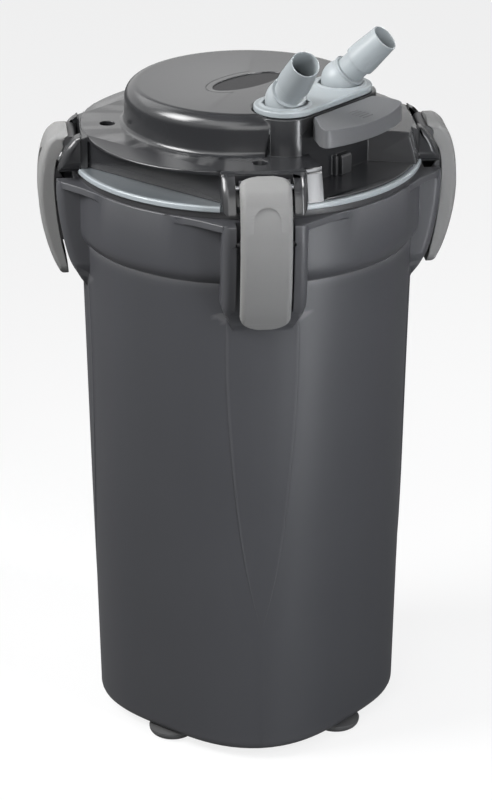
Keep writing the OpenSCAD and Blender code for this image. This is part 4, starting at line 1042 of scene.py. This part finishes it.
def elbow(name, side, turn):
    seat = PLATE - 1.15
    upright = [(0, PLATE - 12), (PLUG_R - 0.4, PLATE - 12), (PLUG_R, PLATE - 11.6), (PLUG_R, seat),
               (ELBOW_R - 0.5, seat), (ELBOW_R, seat + 0.5)]
    upright += arc(0, BEND - 0.5, ELBOW_R, 0, 90, 20)
    body = spin(name, upright, 96)
    tail = laid(spin("tail", tail_outline(), 96), turn)
    cut(tail, disc_at("below", 40, seat - 30, seat))
    join(body, tail)
    way = spin("way", [(0, PLATE - 13), (BORE_R, PLATE - 13)] + arc(0, BEND, BORE_R, 0, 90, 10), 64)
    mouth = [(0, -1), (TAIL_BORE, -1), (TAIL_BORE, TAIL_L - 5), (TIP_R - 0.75, TAIL_L - 0.3),
             (TIP_R - 0.45, TAIL_L + 0.01), (TIP_R - 0.45, TAIL_L + 2), (0, TAIL_L + 2)]
    cut(body, way, laid(spin("tail_way", mouth, 64), turn))
    cut(body, groove_cutter(PLUG_R - 1.7, PLUG_R, PLATE - 7, 1))
    return moulded_edges(turned(at_tail(body, side * TAP_HALF), TAP_TURN), 0.25, 30)


for name, side, turn in (("front", -1, -71.4), ("rear", 1, -27.2)):
    tail = elbow(name + "_hose_tail", side, turn)
    finish_piece(tail, name + "_hose_elbow", pale_satin, [name + "_elbow"])

# %% [markdown]
# ## Release lever
# The lever is a hollow cap with a wide curved lip. Its plan is drawn with soft corners, its top falls away
# from the hinge, and a broad round runs along the outer edge, so the solid is rounded before it is hollowed.

# %% Lever
LEVER_REACH = HINGE[0] + 20.7
LEVER_TOP = HINGE[1] + 3.4
LIP = LEVER_TOP - 4 - 9.2


def lever_plan(draw_in):
    end, reach = 35 - draw_in, LEVER_REACH - draw_in
    half = math.asin(end / reach)
    corner = Vector((reach * math.cos(half), end))
    shoulder = Vector((HINGE[0] + 8, end - 2))
    before = corner - 3.6 * (corner - shoulder).normalized()
    after = Vector((reach * math.cos(half - 0.04), reach * math.sin(half - 0.04)))
    soft = [(1 - t) ** 2 * before + 2 * t * (1 - t) * corner + t * t * after
            for t in (0, 0.17, 0.33, 0.5, 0.67, 0.83, 1)]
    front = arc(0, 0, reach, math.degrees(half) - 4, 0, 12)
    half_line = [(HINGE[0] - 3.4, 24 - draw_in), tuple(shoulder)] + [tuple(p) for p in soft] + front
    return [(x, -y) for x, y in half_line[:-1]] + half_line[::-1]


def release_lever():
    x, z = HINGE
    far, fall = LEVER_REACH + 12, 4 / 20.7
    cap = push_z("release_lever_cap", lever_plan(0), LIP, LIP + 40)
    side = [(far, LIP), (far, LEVER_TOP - fall * (far - x))] + arc(x, z, 3.4, 90, 180, 8) + [(x - 3.4, LIP)]
    keep_inside(cap, push_y("side", side, -60, 60))
    round_top(cap, 1.7)
    room = push_z("room", lever_plan(2.4), LIP - 1, LIP + 40)
    keep_inside(room, push_y("side", [(x - 4.4, LIP - 1), (far, LIP - 1), (far, LEVER_TOP - 2.4 - fall * (far - x)),
                                      (x, LEVER_TOP - 2.4), (x - 4.4, LEVER_TOP - 2.4)], -60, 60))
    cut(room, shaft("barrel", HINGE, 3.4, -60, 60))
    cut(cap, room)
    slot = [(x, z), (x - 6, z + 3.8), (x - 6, LIP - 1), (x + 5, LIP - 1), (x + 4, z - 3)]
    for y0, y1 in ((-18.3, -14.7), (14.7, 18.3)):
        cut(cap, shaft("ear_room", HINGE, 2.3, y0, y1), push_y("ear_slot", slot, y0, y1))
    cut(cap, shaft("pin_bore", HINGE, 1.26, -22, 22, 24))
    for i in range(5):
        bar = box("grip", 0, 0.55, -4.2, 4.2, -0.25, 3)
        bar.data.transform(Matrix.Rotation(math.atan(fall), 4, "Y"))
        at = x + 6.4 + 2.0 * i
        bar.data.transform(Matrix.Translation(Vector((at, 2.2 * (i - 2) * 0.35, LEVER_TOP - fall * (at - x))) * MM))
        cut(cap, bar)
    return moulded_edges(turned(cap, TAP_TURN), 0.22, 36)


def round_top(piece, width):
    """Rounds the sharp edges of the plain cap."""
    edge = piece.modifiers.new("round", "BEVEL")
    edge.width = width * MM
    edge.segments = 5
    edge.limit_method = "ANGLE"
    edge.angle_limit = math.radians(50)
    flatten(piece)


finish_piece(release_lever(), "lever", lever_satin, ["release_lever"])

# %% [markdown]
# ## Parts that keep their CAD shape
# Feet, ring, frames, pins, screws, base, pump and baskets are plain turned or pushed parts, and the CAD solids
# already are what they should be. They only get a finish.

# %% Finishes for the rest
KEPT = {
    rubber: ["feet", "head_gasket", "spigot_seals", "front_elbow_seal", "rear_elbow_seal", "shaft_bushes"],
    badge_gloss: ["badge_plate"],
    black_satin: ["head_base", "cable_gland", "pump_housing", "pump_cover"] + ["clamp_frame_" + c for c in CLAMPS],
    steel: ["head_screws", "lever_pin"] + ["clamp_pin_" + c for c in CLAMPS],
    ring_painted_shade: ["seal_ring"], pale_satin: ["impeller"],
    basket_plastic: ["media_basket_%d" % i for i in range(1, 5)],
    potting: ["motor_stator"], magnet: ["rotor_magnet"], ceramic: ["impeller_shaft"], lever_satin: ["basket_handle"],
    porous: ["ceramic_media", "bio_media"],
}
for material, names in KEPT.items():
    for name in names:
        node = bpy.data.objects[name]
        node.data.materials.clear()
        node.data.materials.append(material)
print("kept nodes:", sum(len(names) for names in KEPT.values()))

# %% [markdown]
# ## Sponge and fine pad
# The two soft blocks in the upper baskets start from their CAD solids. A fine remesh lets their edges go soft,
# and a little noise along the normals gives cut foam and loose floss their uneven faces.


# %% Soft blocks
def soft_block(name, node_name, material, cell, rough, smooth):
    node = bpy.data.objects[node_name]
    block = bpy.data.objects.new(name, node.data.copy())
    scene.collection.objects.link(block)
    block.data.transform(node.matrix_world)
    grid = block.modifiers.new("grid", "REMESH")
    grid.mode = "VOXEL"
    grid.voxel_size = cell * MM
    soft = block.modifiers.new("soft", "SMOOTH")
    soft.factor, soft.iterations = 0.5, smooth
    flatten(block)
    for v, normal in [(v, v.normal.copy()) for v in block.data.vertices]:
        v.co += normal * rough * MM * (noise.noise(v.co * 110) + 0.5 * noise.noise(v.co * 320) - 0.8)
    block.data.polygons.foreach_set("use_smooth", [True] * len(block.data.polygons))
    finish_piece(block, "canister", material, [node_name])


soft_block("sponge_block", "coarse_sponge", blue_foam, 2.0, 0.5, 3)
soft_block("floss_pad", "fine_pad", white_floss, 2.0, 1.1, 10)
